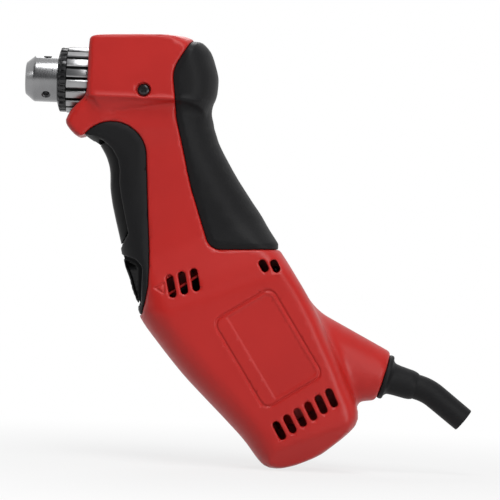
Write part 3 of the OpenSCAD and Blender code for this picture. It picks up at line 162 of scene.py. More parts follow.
# name, two colours, roughness and its spread, grain and its depth, then metal, cloud size and stretch
finishForm = {
    "red_shell": ("mouldedRed", (0.43, 0.011, 0.008), (0.47, 0.014, 0.0105), 0.42, 0.05, 1500, 0.00012),
    "black_rubber": ("gripRubber", (0.006, 0.006, 0.0066), (0.008, 0.008, 0.0088), 0.56, 0.06, 1100, 0.00016),
    "black_plastic": ("triggerBlack", (0.008, 0.008, 0.0085), (0.0105, 0.0105, 0.011), 0.38, 0.05, 1500, 0.0001),
    "dark_plastic": ("switchDark", (0.035, 0.035, 0.04), (0.05, 0.05, 0.055), 0.5, 0.08, 1200, 0.0001),
    "pale_plastic": ("fanPale", (0.62, 0.6, 0.52), (0.7, 0.67, 0.6), 0.5, 0.08, 1200, 0.0001),
    "die_casting": ("castingAlloy", (0.5, 0.5, 0.52), (0.6, 0.6, 0.62), 0.48, 0.12, 700, 0.0002, 1.0),
    "dark_steel": ("oxideSteel", (0.026, 0.026, 0.027), (0.046, 0.046, 0.048), 0.25, 0.08, 900, 0.00006, 0.7),
    "bright_steel": ("groundSteel", (0.56, 0.56, 0.57), (0.66, 0.66, 0.67), 0.26, 0.08, 900, 0.00004, 1.0),
    "chuck_steel": ("turnedSteel", (0.2, 0.2, 0.205), (0.29, 0.29, 0.295), 0.27, 0.07, 500, 0.00003, 1.0,
                    40.0, (9, 0.4, 0.4)),
    "fluted_steel": ("flutedSteel", (0.3, 0.3, 0.305), (0.4, 0.4, 0.405), 0.31, 0.06, 500, 0.00003, 1.0,
                     40.0, (9, 0.4, 0.4)),
    "copper_wire": ("lacqueredCopper", (0.42, 0.15, 0.06), (0.56, 0.22, 0.09), 0.4, 0.1, 600, 0.0002, 0.9),
    "bronze": ("sinteredBronze", (0.42, 0.28, 0.12), (0.52, 0.36, 0.17), 0.45, 0.1, 900, 0.0001, 1.0),
    "iron_sheet": ("varnishedIron", (0.09, 0.095, 0.11), (0.14, 0.145, 0.16), 0.46, 0.1, 500, 0.0002, 0.6),
    "carbon": ("brushCarbon", (0.02, 0.02, 0.02), (0.035, 0.035, 0.035), 0.6, 0.1, 800, 0.0001)}
sheen = {"red_shell": 0.38, "black_rubber": 0.17, "black_plastic": 0.3}
# radii in metres over which the painted shade in the flute grooves fades out
fluteShadeRadii = (0.0191, 0.0196)
finish, shaders = {}, {}
for slot, values in finishForm.items():
    finish[slot], shaders[slot] = grainyMaterial(*values)
for slot, level in sheen.items():
    shaders[slot].inputs["Specular IOR Level"].default_value = level
paintFluteShade(shaders["fluted_steel"], finish["fluted_steel"].node_tree, *fluteShadeRadii)
for part in frame["record"]["subparts"]:
    node = nodes[part["node"]]
    node.data.materials.clear()
    node.data.materials.append(finish[part["material_slot"]])
print("materials made")

# meshes


def addPiece(name, mesh, body, slot, *replaced):
    piece = addObject(name, mesh)
    if not mesh.materials:
        mesh.materials.append(finish[slot])
    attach(piece, body)
    if replaced:
        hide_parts(*replaced)
    return piece


def meshFrom(name, points, faces, smoothAngle=32):
    mesh = bpy.data.meshes.new(name)
    mesh.from_pydata([tuple(p) for p in np.asarray(points) * mm], [], [tuple(f) for f in faces])
    tidyMesh(mesh, smoothAngle)
    return mesh


def tidyMesh(mesh, smoothAngle=32):
    work = bmesh.new()
    work.from_mesh(mesh)
    bmesh.ops.remove_doubles(work, verts=work.verts, dist=1e-6)
    bmesh.ops.recalc_face_normals(work, faces=work.faces)
    work.to_mesh(mesh)
    work.free()
    mesh.shade_smooth()
    mesh.set_sharp_from_angle(angle=math.radians(smoothAngle))


def ringFaces(rows, count, closed=False):
    faces = []
    for i in range(rows if closed else rows - 1):
        a, b = i * count, (i + 1) % rows * count
        faces += [(a + j, a + (j + 1) % count, b + (j + 1) % count, b + j) for j in range(count)]
    return faces


def around(count):
    return np.linspace(0, 2 * math.pi, count, endpoint=False)


def lathe(profile, count=96):
    # profile is a closed loop of (x, r) round the spindle axis
    points = [(x, r * math.sin(a), -r * math.cos(a)) for x, r in profile for a in around(count)]
    return points, ringFaces(len(profile), count, True)


def roundCorner(a, corner, b, radius, steps=5):
    # points of a rounded corner on a profile
    a, corner, b = (np.array(p, float) for p in (a, corner, b))
    ua, ub = (a - corner) / np.linalg.norm(a - corner), (b - corner) / np.linalg.norm(b - corner)
    t = np.linspace(0, 1, steps + 1)[:, None]
    p0, p2 = corner + ua * radius, corner + ub * radius
    return [tuple(p) for p in (1 - t) ** 2 * p0 + 2 * t * (1 - t) * corner + t ** 2 * p2]


def roundedLoop(corners):
    # corners are (x, r, rounding)
    out = []
    for i, c in enumerate(corners):
        before, after = corners[i - 1], corners[(i + 1) % len(corners)]
        if c[2] > 0:
            out += roundCorner(before[:2], c[:2], after[:2], c[2])
        else:
            out.append(c[:2])
    return out


def cutWith(name, points, faces, cutters, smoothAngle=32):
    # solid minus the cutters, as a plain mesh
    target = addObject(name, meshFrom(name, points, faces))
    tools = []
    for i, (p, f) in enumerate(cutters):
        tool = addObject(f"{name}Tool{i}", meshFrom(f"{name}Tool{i}", p, f))
        step = target.modifiers.new(f"cut{i}", "BOOLEAN")
        step.operation, step.solver, step.object = "DIFFERENCE", "EXACT", tool
        tools.append(tool)
    mesh = plainMesh(target)
    for o in tools + [target]:
        bpy.data.objects.remove(o)
    tidyMesh(mesh, smoothAngle)
    return mesh


def rod(start, end, radius, count=32):
    start, end = np.array(start, float), np.array(end, float)
    axis = (end - start) / np.linalg.norm(end - start)
    side = np.cross(axis, (0, 0, 1) if abs(axis[2]) < 0.9 else (1, 0, 0))
    side /= np.linalg.norm(side)
    other = np.cross(axis, side)
    turn = around(count)
    ring = radius * (np.cos(turn)[:, None] * side + np.sin(turn)[:, None] * other)
    faces = ringFaces(2, count) + [tuple(range(count - 1, -1, -1)), tuple(range(count, 2 * count))]
    return np.concatenate([start + ring, end + ring]), faces


# distance fields for the moulded pieces, in millimetres


class Field:
    def __init__(self, step, low, high):
        self.step = step
        self.first = np.floor(np.array(low) / step).astype(int)
        self.shape = tuple((np.ceil(np.array(high) / step).astype(int) - self.first + 1).tolist())
        axes = [((np.arange(n) + i) * step).astype(np.float32) for n, i in zip(self.shape, self.first)]
        self.x, self.y, self.z = np.ix_(*axes)
        self.s = (self.x - drive["cross"]) * cosA - self.z * sinA
        self.f = -(self.x - drive["cross"]) * sinA - self.z * cosA

    def solid(self, sections, band=12.0):
        # distance to a closed loft through rings of points
        rows, count = sections.shape[:2]
        points = sections.reshape(-1, 3)
        caps = [(0, j, j + 1) for j in range(1, count - 1)]
        caps += [tuple((rows - 1) * count + v for v in cap) for cap in caps]
        grid = openvdb.FloatGrid.createLevelSetFromPolygons(
            points.astype(np.float32), np.array(caps, np.uint32),
            np.array(ringFaces(rows, count), np.uint32),
            openvdb.createLinearTransform(voxelSize=self.step), halfWidth=band)
        out = np.empty(self.shape, np.float32)
        grid.copyToArray(out, ijk=tuple(self.first.tolist()))
        return out

    def mesh(self, name, field, mirrored=False, adapt=0.2):
        grid = openvdb.FloatGrid(2.0)
        grid.transform = openvdb.createLinearTransform(voxelSize=self.step)
        field = np.clip(field, -2, 2)
        grid.copyFromArray(field, ijk=tuple(self.first.tolist()))
        points, tris, quads = grid.convertToPolygons(isovalue=0.0, adaptivity=adapt)
        # shading follows the field's own slope
        at = points / self.step - self.first
        cell = np.clip(at.astype(int), 0, np.array(self.shape) - 2)
        part = at - cell
        slopes = [np.zeros(len(points)) for _ in range(3)]
        for corner in np.ndindex(2, 2, 2):
            near = (cell + corner).T
            share = np.prod(np.where(corner, part, 1 - part), axis=1)
            for a, n in enumerate(np.eye(3, dtype=int)):
                up = field[tuple(np.minimum(v + d, m - 1) for v, d, m in zip(near, n, self.shape))]
                down = field[tuple(np.maximum(v - d, 0) for v, d in zip(near, n))]
                slopes[a] += share * (up - down)
        normals = np.stack(slopes, -1)
        normals /= np.linalg.norm(normals, axis=1, keepdims=True) + 1e-9
        faces = [tuple(f) for f in tris.tolist()] + [tuple(f) for f in quads.tolist()]
        p = points[np.array(faces[-1])]
        facing = np.dot(np.cross(p[1] - p[0], p[2] - p[0]), normals[faces[-1][0]])
        if mirrored:
            points = points * (1, -1, 1)
            normals = normals * (1, -1, 1)
        if (facing < 0) != mirrored:
            faces = [f[::-1] for f in faces]
        mesh = bpy.data.meshes.new(name)
        mesh.from_pydata((points * mm).tolist(), [], faces)
        mesh.validate()
        mesh.shade_smooth()
        if len(mesh.vertices) == len(normals):
            mesh.normals_split_custom_set_from_vertices(normals.tolist())
        print(name, len(mesh.vertices), "points")
        return mesh


def blendMax(a, b, k):
    h = np.clip(0.5 + 0.5 * (a - b) / k, 0, 1)
    return b + (a - b) * h + k * h * (1 - h)


def blendMin(a, b, k):
    return -blendMax(-a, -b, k)


def overlap(*fields):
    return functools.reduce(np.maximum, fields)


def union(*fields):
    return functools.reduce(np.minimum, fields)


def between(v, low, high):
    # negative inside a slab
    return np.abs(v - (low + high) / 2) - (high - low) / 2


def fade(v, start, over):
    # 0 to 1 over a stretch
    return np.clip((v - start) / over, 0, 1)


def segmentGap(u, v, a, b):
    # squared distance to the line from a to b
    ex, ey = b[0] - a[0], b[1] - a[1]
    t = np.clip(((u - a[0]) * ex + (v - a[1]) * ey) / (ex * ex + ey * ey), 0, 1)
    return (u - a[0] - t * ex) ** 2 + (v - a[1] - t * ey) ** 2


def polygonField(u, v, points):
    # signed distance to a closed outline
    best, inside = None, None
    for i in range(len(points)):
        (ax, ay), (bx, by) = points[i - 1], points[i]
        gap = segmentGap(u, v, points[i - 1], points[i])
        best = gap if best is None else np.minimum(best, gap)
        crossing = ((ay > v) != (by > v)) & (u < (bx - ax) * (v - ay) / (by - ay or 1e-9) + ax)
        inside = crossing if inside is None else inside ^ crossing
    return np.where(inside, -np.sqrt(best), np.sqrt(best)).astype(np.float32)


def discField(u, v, discs, steps=30):
    # outline swept by a chain of discs (u, v, radius)
    out = None
    for a, b in zip(discs[:-1], discs[1:]):
        for t in np.linspace(0, 1, steps):
            c = [p + (q - p) * t for p, q in zip(a, b)]
            gap = np.sqrt((u - c[0]) ** 2 + (v - c[1]) ** 2) - c[2]
            out = gap if out is None else np.minimum(out, gap)
    return out.astype(np.float32)


def slotField(u, v, a, b, radius):
    return np.sqrt(segmentGap(u, v, a, b)) - radius


def smoothRows(rows, steps):
    # monotone curves through the rows, so that no stretch swings past its neighbours
    rows = np.array(rows, float)
    d = np.diff(rows, axis=0)
    m = np.zeros_like(rows)
    same = d[:-1] * d[1:] > 0
    m[1:-1] = np.where(same, 2 * d[:-1] * d[1:] / np.where(same, d[:-1] + d[1:], 1), 0)
    m[0], m[-1] = d[0], d[-1]
    out = []
    for i in range(len(d)):
        for t in np.linspace(0, 1, steps, endpoint=False):
            out.append((2 * t**3 - 3 * t**2 + 1) * rows[i] + (t**3 - 2 * t**2 + t) * m[i]
                       + (3 * t**2 - 2 * t**3) * rows[i + 1] + (t**3 - t**2) * m[i + 1])
    out.append(rows[-1])
    return np.array(out)


def rungSection(front, rear, w, rf, ef, rr, er, steps=12):
    # a closed ring of points round one cross-section
    run = np.linalg.norm(rear - front)
    way = (rear - front) / run
    rf, rr = min(rf, run / 2 - 0.1), min(rr, run / 2 - 0.1)
    a = np.linspace(0, math.pi / 2, steps)
    along = np.concatenate([rf * (1 - np.cos(a)), np.linspace(rf, run - rr, 8)[1:-1],
                            (run - rr * (1 - np.cos(a)))[::-1]])
    out = np.concatenate([w - ef + ef * np.sin(a), np.full(6, w), (w - er + er * np.sin(a))[::-1]])
    along, out = np.concatenate([along, along[::-1]]), np.concatenate([out, -out[::-1]])
    flat = front + along[:, None] * way
    return np.stack([flat[:, 0], out, flat[:, 1]], -1)


# the body in rows: front edge (s, f), rear edge (s, -f), half thickness, edge rounding, all as shares
neckEdge, gripEdge, motorEdge = (0.18, 0.22, 0.9, 0.95), (0.65, 0.75, 0.9, 0.95), (0.55, 0.7, 0.25, 0.36)
bodyForm = {"handleHalf": 21.5, "motorHalf": 33.0, "front": 48.5, "rear": 45.0, "rows": [
    [0.016, -0.06, 0.171, 1.31, 0.1, *neckEdge],
    [0.033, 0.047, 0.2, 1.267, 0.1, *neckEdge],
    [0.045, 0.322, 0.214, 1.211, 0.1, *neckEdge],
    [0.061, 0.46, 0.223, 1.178, 0.1, *neckEdge],
    [0.074, 0.47, 0.23, 1.162, 0.1, *neckEdge],
    [0.1, 0.441, 0.24, 1.14, 0.1, 0.2, 0.25, 0.9, 0.95],
    [0.112, 0.348, 0.249, 1.116, 0.08, 0.35, 0.45, 0.9, 0.95],
    [0.144, 0.272, 0.268, 1.084, 0.03, 0.6, 0.7, 0.9, 0.95],
    [0.17, 0.27, 0.286, 1.056, 0, *gripEdge],
    [0.198, 0.311, 0.309, 1.038, 0, *gripEdge],
    [0.223, 0.39, 0.331, 1.027, 0, *gripEdge],
    [0.26, 0.501, 0.357, 1.016, 0, *gripEdge],
    [0.311, 0.608, 0.39, 1.009, 0, *gripEdge],
    [0.362, 0.722, 0.435, 1.009, 0.02, *gripEdge],
    [0.396, 0.796, 0.472, 1.013, 0.09, 0.65, 0.75, 0.85, 0.9],
    [0.442, 0.866, 0.517, 1, 0.36, 0.6, 0.75, 0.6, 0.75],
    [0.494, 0.936, 0.569, 1, 0.76, 0.55, 0.7, 0.4, 0.55],
    [0.511, 0.988, 0.591, 1, 0.87, 0.55, 0.7, 0.34, 0.48],
    [0.539, 1, 0.621, 0.996, 1, 0.55, 0.7, 0.27, 0.4],
    [0.608, 0.973, 0.669, 0.987, 1, *motorEdge],
    [0.677, 0.934, 0.725, 0.96, 1, *motorEdge],
    [0.749, 0.864, 0.781, 0.907, 1, *motorEdge],
    [0.823, 0.784, 0.844, 0.851, 1, 0.52, 0.68, 0.25, 0.36],
    [0.885, 0.728, 0.9, 0.793, 1, 0.5, 0.65, 0.28, 0.4],
    [0.933, 0.711, 0.95, 0.742, 0.99, 0.45, 0.6, 0.3, 0.42],
    [0.955, 0.68, 0.972, 0.689, 0.95, 0.42, 0.55, 0.32, 0.45],
    [0.976, 0.557, 0.987, 0.589, 0.75, 0.45, 0.55, 0.4, 0.5],
    [0.991, 0.351, 0.996, 0.378, 0.3, 0.5, 0.6, 0.5, 0.6],
    [1, 0.124, 1, 0.133, -0.2, 0.5, 0.6, 0.5, 0.6]]}
headForm = {"top": 29.6, "front": 38.4, "rear": 116.3, "half": 27.0, "rim": 4.0, "crease": -10.7,
            "foot": (57.9, -18.2, 0.1735), "valley": 0.9, "fall": (90.0, 0.056), "fallBlend": 2.5,
            "under": {"drop": 5.6, "loss": 3.2, "from": 45, "over": 60, "deep": 4.4},
            "bead": {"up": 0.7, "high": 0.7, "from": 22, "over": 3}, "rows": [
    [1, 0.17, 0.31], [0.966, 0.075, 0.25], [0.9, 0.028, 0.185], [0.81, 0.005, 0.125], [0.66, 0, 0.07],
    [0.4, 0, 0.03], [0.1, 0, 0.003], [-0.15, 0, 0.008], [-0.28, 0.002, 0.02], [-0.34, 0.02, 0.03],
    [-0.4, 0.05, 0.04], [-0.6, 0.15, 0.07]]}
bossForm = {"x": 225.0, "drop": 172.5, "tilt": 15.5, "r": 15.4, "root": 60.0, "edge": 2.2,
            "topSlope": 0.204, "lowSlope": 0.43, "sideSlope": 0.12}
tailForm = {"s": 251.7, "f": 18.0, "slope": 0.22, "angle": 38.0}


def bodySections():
    out = []
    for q in smoothRows(bodyForm["rows"], 6):
        w = bodyForm["handleHalf"] + q[4] * (bodyForm["motorHalf"] - bodyForm["handleHalf"])
        front = onAxis(q[0] * drive["reach"], q[1] * bodyForm["front"])
        rear = onAxis(q[2] * drive["reach"], -q[3] * bodyForm["rear"])
        out.append(rungSection(front, rear, w, *(q[5:9] * w)))
    return np.array(out)


def headField(g):
    # flat sides with a crisp rim round the outline, and an undercut above the handle
    run = headForm["rear"] - headForm["front"]
    rings, front, rear = [], [], []
    for q in smoothRows(headForm["rows"], 6):
        z = q[0] * headForm["top"]
        a, b = np.array([headForm["front"] + q[1] * run, z]), np.array([headForm["rear"] - q[2] * run, z])
        w = headForm["half"]
        rings.append(rungSection(a, b, w, 0.2, 0.2, 0.6 * w, 0.85 * w))
        front.append(tuple(a))
        rear.append(tuple(b))
    outline = polygonField(g.x, g.z, front + rear[::-1])
    rim, flat = headForm["rim"], headForm["half"] - 0.9 * headForm["rim"]
    edge = np.sqrt(np.maximum(outline + rim, 0) ** 2 + np.maximum(np.abs(g.y) - flat, 0) ** 2) - rim
    edge = np.where(outline + rim < 0, np.abs(g.y) - flat - rim, edge)
    head = blendMax(g.solid(np.array(rings)), edge, 0.5)
    highX, slope = headForm["fall"]
    head = blendMax(head, g.z - headForm["top"] + (highX - g.x) * slope, headForm["fallBlend"])
    under, bead = headForm["under"], headForm["bead"]
    drop = under["drop"] - under["loss"] * fade(g.x, under["from"], under["over"])
    lean = np.sqrt(drop * drop + under["deep"] * under["deep"])
    cut = ((-g.y - headForm["half"]) * drop - (g.z - headForm["crease"]) * under["deep"]) / lean
    ridge = np.exp(-(g.z - headForm["crease"] - bead["up"]) ** 2) * fade(-g.y, bead["from"], bead["over"])
    return blendMax(head - bead["high"] * ridge, cut - bead["high"] * ridge, 0.5)


def bossSections():
    t = math.radians(bossForm["tilt"])
    along, up = np.array([math.cos(t), -math.sin(t)]), np.array([math.sin(t), math.cos(t)])
    out = []
    edge = bossForm["edge"]
    ends = [(edge * (1 - math.sin(a)), edge * (1 - math.cos(a))) for a in np.linspace(0, math.pi / 2, 6)]
    for u, shrink in [(bossForm["root"], 0), (30, 0), (12, 0)] + ends:
        mid = np.array([bossForm["x"], -bossForm["drop"]]) - u * along
        top, low, w = (bossForm["r"] + u * bossForm[k] - shrink for k in ("topSlope", "lowSlope", "sideSlope"))
        out.append(rungSection(mid - low * up, mid + top * up, w, low, w, top, w))
    return np.array(out)


# rubber areas as chains of discs (s, f, radius) and the cuts in the shell
gripForm = {"pocket": 2.1, "gap": 0.12, "sunk": 0.45, "proud": {"frontGrip": 0.3, "rearGrip": 1.3}, "front": [
    [49, 10, 21], [60.5, 15.6, 19.9], [72.6, 21.5, 18.6], [86.1, 28.5, 17.75], [100.1, 35.5, 16.7],
    [110, 39, 14.25], [119.7, 42.2, 11.3], [130.2, 44.7, 5.8], [137.7, 46.5, 1.5]], "rear": [
    [32.8, -72.1, 16.4], [39.5, -62.4, 18.6], [50, -58.9, 20.3], [60.3, -55.1, 22.1], [70.5, -51.9, 22.6],
    [81.2, -48.4, 23.1], [90.4, -46.3, 24.6], [100.1, -44.1, 25.8]],
    "corners": [[124.5, -19.9, 9.15], [147.1, -55.4, 9.15]]}
seamOutline = [(36.4, 10.2), (39.4, 9), (45.5, 7.4), (52.5, 7.9), (58.5, 10.4), (64.7, 14.7), (72, 18.2),
               (85.5, 23.6), (94, 26.9), (97.6, 34.7), (100, 43.7), (67, 43.7), (40.4, 16), (38.9, 13.4)]
slotOutline = [(35.2, 14.5), (34.8, -3.6), (53.8, -4.4), (100, 16), (97.2, 22.3), (98, 35.4), (100, 43.7),
               (67, 43.7)]
slotHalf = 11.1
leverForm = {"at": (75.46, -114.19), "depth": 11.4, "drop": 20.3, "outline": [
    (0, -0.93), (0.05, -1), (0.17, -0.97), (0.46, -0.6), (0.65, -0.23), (0.88, 0.08), (1, 0.31), (0.8, 0.355),
    (0.27, 0.24), (0.06, 0.06)], "notch": [
    (-0.07, -1.02), (0.1, -1.06), (0.6, -1.1), (1.6, -1.1), (1.6, 0.48), (0.92, 0.42), (0.32, 0.33), (0.04, 0.18),
    (-0.07, 0.06)], "cheek": (8.0, 9.6), "lap": 1.3, "back": (0.926, 0.377), "clear": 2.0, "studHole": (3.3, 12),
    "tip": (16.1, 7.2, 3.0), "dish": 0.9, "ridge": (3.2, 0.35, 0.6)}
liningForm = {"thick": 1.3, "cutBack": 1.4, "split": 103, "deep": (13.0, 8.0)}
ventForm = {"r": 2.25, "upper": [
    (130.2, 20.1, 139.1, 23.6), (132.4, 13, 141.2, 16.6), (134.8, 5.9, 143.5, 9.6), (152.5, -31.7, 156, -31.4),
    (156.2, -37.5, 159.9, -37)], "lowFirst": (238.7, 13.45, 246.3, 14.1), "lowLast": (239.1, -23.7, 246.7, -22.5),
    "lowCount": 6}
# webs between the halves that the vents look on: along, across, clear half width round the motor axis
baffles = [(131.8, 137.7, -34, 36, 5.4), (125, 131.8, 14, 42, 0), (129.6, 131.9, 10.5, 42, 0),
           (137.7, 149, 22.8, 42, 0), (149, 163, -43, -28.5, 0), (230, 243.4, -32, 24, 9.75),
           (243.4, 244.4, -30, 22, 3.8), (244.4, 254, -30, 22, 0)]
ribForm = {"inset": 3, "webHalf": 0.9, "shroud": (137.1, 138.7), "shroudR": 23.1, "shroudHalf": 24,
           "shroudLong": (137.1, 142.0), "longFrom": 21.5, "longHalf": 12, "strut": (2.7, 1.3),
           "collar": (131.9, 137.5), "collarR": (5.4, 7.0), "plate": (126.0, 129.5), "plateR": 19.62,
           "plateF": -6.0, "rear": (236.5, 244.2), "rearR": 14.0, "boreR": 9.65}
shellForm = {"wall": 4.5, "chuckWall": (25.1, 48), "caseRoom": (22.3, 75, 26), "bossBlend": 6.0,
             "bossBore": (10.35, 60), "seam": 0.06, "well": (4.2, 14)}
plateForm = {"at": (197.3, -7.03), "half": (30.7, 20.2), "turn": 2.0, "corner": 5.5, "line": 0.65, "deep": 0.75,
             "frame": 2.5, "strip": 8.6, "sunk": 0.5}
triggerForm = {"half": 10.5, "eye": (91.06, 20.5, 3.5), "root": (88.0, 25.0, 2.3), "rows": [
    (39.4, 12.7, 38.5, 6.5), (45.7, 13.1, 45.9, 4.6), (53.3, 15.1, 54.2, 5.3), (58.4, 17.8, 60, 8.2),
    (64.2, 21.5, 66, 12.6), (73.6, 25.9, 73.4, 16), (82, 29.1, 86.5, 20.9), (92, 32.7, 90.9, 23.3),
    (96.8, 34.3, 92.4, 24.5)], "edge": 0.45, "pinR": 1.55}
chuckSeat = {"r": 21.6, "floor": 44.5, "hole": 13.0}
sideScrew = {"x": 72.7, "z": -5.4, "r": 4.3, "seat": 24.0}
screwSpots = [(-8.23, -27.1), (25, 17.9), (116.9, 17), (160, -36.6), (165.2, 37.1), (244.3, 26.9), (244.3, -31)]
arrowForm = {"at": (87.0, -124.2), "size": 6.8, "line": 0.5, "deep": 0.7, "lean": (0.876, 0.482)}


def leverOutline(g, kind):
    lx, lz = leverForm["at"]
    return polygonField(g.x, g.z, [(lx - a * leverForm["depth"], lz + b * leverForm["drop"])
                                   for a, b in leverForm[kind]])


def leverField(g):
    lx, lz = leverForm["at"]
    outline = leverOutline(g, "outline")
    length, radius, narrow = leverForm["tip"]
    drop = slotField(g.y, g.z, (0, lz), (0, lz - length), radius)
    taper = fade(-g.z, -lz, length) * narrow
    dish = leverForm["dish"] * fade(-outline, 1.2, 0.7)
    return blendMax(blendMax(outline, drop + taper + dish, 0.8), g.x - lx + 0.8, 0.4)


def triggerOutline(g):
    rows = smoothRows(triggerForm["rows"], 6)
    return polygonField(g.s, g.f, [(q[0], q[1]) for q in rows] + [(q[2], q[3]) for q in rows[::-1]])


def outerForm(g):
    # body with its chamfered tail, head, the valley under it, and boss
    x, y, z = g.x, g.y, g.z
    body = g.solid(bodySections())
    slope = tailForm["slope"]
    past = (g.s - tailForm["s"] - (tailForm["f"] - g.f) * slope) / math.hypot(1, slope)
    tilt = math.radians(tailForm["angle"])
    body = blendMax(body, (-y - bodyForm["motorHalf"]) * math.cos(tilt) + past * math.sin(tilt), 0.9)
    outer = blendMin(body, headField(g), 1.4 + 3 * fade(-y, 12, 8))
    footX, footZ, rise = headForm["foot"]
    foot = z - footZ - (x - footX) * rise
    valley = np.where(foot < 0, 1 + foot / 5, 1 - foot / 1.8)
    valley = np.clip(valley, 0, 1) * fade(-y, 14, 5) * fade(x, 50, 5) * fade(-x, -97, 6)
    outer = outer + headForm["valley"] * valley
    outer = blendMin(outer, g.solid(bossSections()), shellForm["bossBlend"])
    print("outer form done")
    return outer


def gripZones(g):
    chain, corners = gripForm["rear"], gripForm["corners"]
    rear = union(discField(g.s, g.f, chain), discField(g.s, g.f, [chain[-1], *corners, chain[-1]]),
                 polygonField(g.s, g.f, [c[:2] for c in (chain[-1], *corners)]))
    return discField(g.s, g.f, gripForm["front"]), rear


def addRibs(g, shell, outer, notch):
    # webs, and saddles of the motor's two bearings, on the inside of the shell
    y, s, f = g.y, g.s, g.f
    inside, clear = outer + ribForm["inset"], leverForm["clear"] - notch
    for s0, s1, f0, f1, hole in baffles:
        web = overlap(between(s, s0, s1), between(f, f0, f1), -y - ribForm["webHalf"], inside)
        shell = np.minimum(shell, overlap(web, hole - np.abs(f), clear))
    plateR = np.sqrt((f - ribForm["plateF"]) ** 2 + y * y)
    motorR = np.sqrt(f * f + y * y)
    strut, strutHalf = ribForm["strut"]
    ribs = [
        (between(s, *ribForm["plate"]), ribForm["plateR"] - plateR, inside, clear),
        (between(s, *ribForm["shroud"]), ribForm["shroudR"] - motorR, -y - ribForm["shroudHalf"], inside),
        (between(s, *ribForm["shroudLong"]), ribForm["shroudR"] - motorR, ribForm["longFrom"] - f,
         -y - ribForm["longHalf"], inside),
        (between(s, *ribForm["collar"]), between(motorR, *ribForm["collarR"])),
        (between(s, *ribForm["rear"]), np.minimum(motorR - ribForm["rearR"], np.abs(f - strut) - strutHalf),
         ribForm["boreR"] - motorR, inside)]
    return union(shell, *(overlap(*rib) for rib in ribs))


def cutMarks(g, shell, outer):
    # bare label plate: a groove round it and a sunk panel in it
    turn = math.radians(plateForm["turn"])
    ps, pf = g.s - plateForm["at"][0], g.f - plateForm["at"][1]
    pu, pv = ps * math.cos(turn) + pf * math.sin(turn), pf * math.cos(turn) - ps * math.sin(turn)
    corner = plateForm["corner"]
    qu, qv = (np.abs(p) - half + corner for p, half in zip((pu, pv), plateForm["half"]))
    plate = np.sqrt(np.maximum(qu, 0) ** 2 + np.maximum(qv, 0) ** 2) + np.minimum(np.maximum(qu, qv), 0) - corner
    shell = blendMax(shell, -np.maximum(np.abs(plate) - plateForm["line"], -(outer + plateForm["deep"])), 0.5)
    panel = np.maximum(plate + plateForm["frame"], pv - plateForm["half"][1] + plateForm["strip"])
    shell = blendMax(shell, -blendMax(panel, -(outer + plateForm["sunk"]), 0.4), 0.8)
    # arrow by the lever, in outline
    au, av = g.x - arrowForm["at"][0], g.z - arrowForm["at"][1]
    half, (rise, run) = arrowForm["size"] / 2, arrowForm["lean"]
    arrow = np.maximum(np.abs(av) * rise - (au + half) * run, au - half)
    return blendMax(shell, -np.maximum(np.abs(arrow + 0.5) - arrowForm["line"], -(outer + arrowForm["deep"])), 0.3)


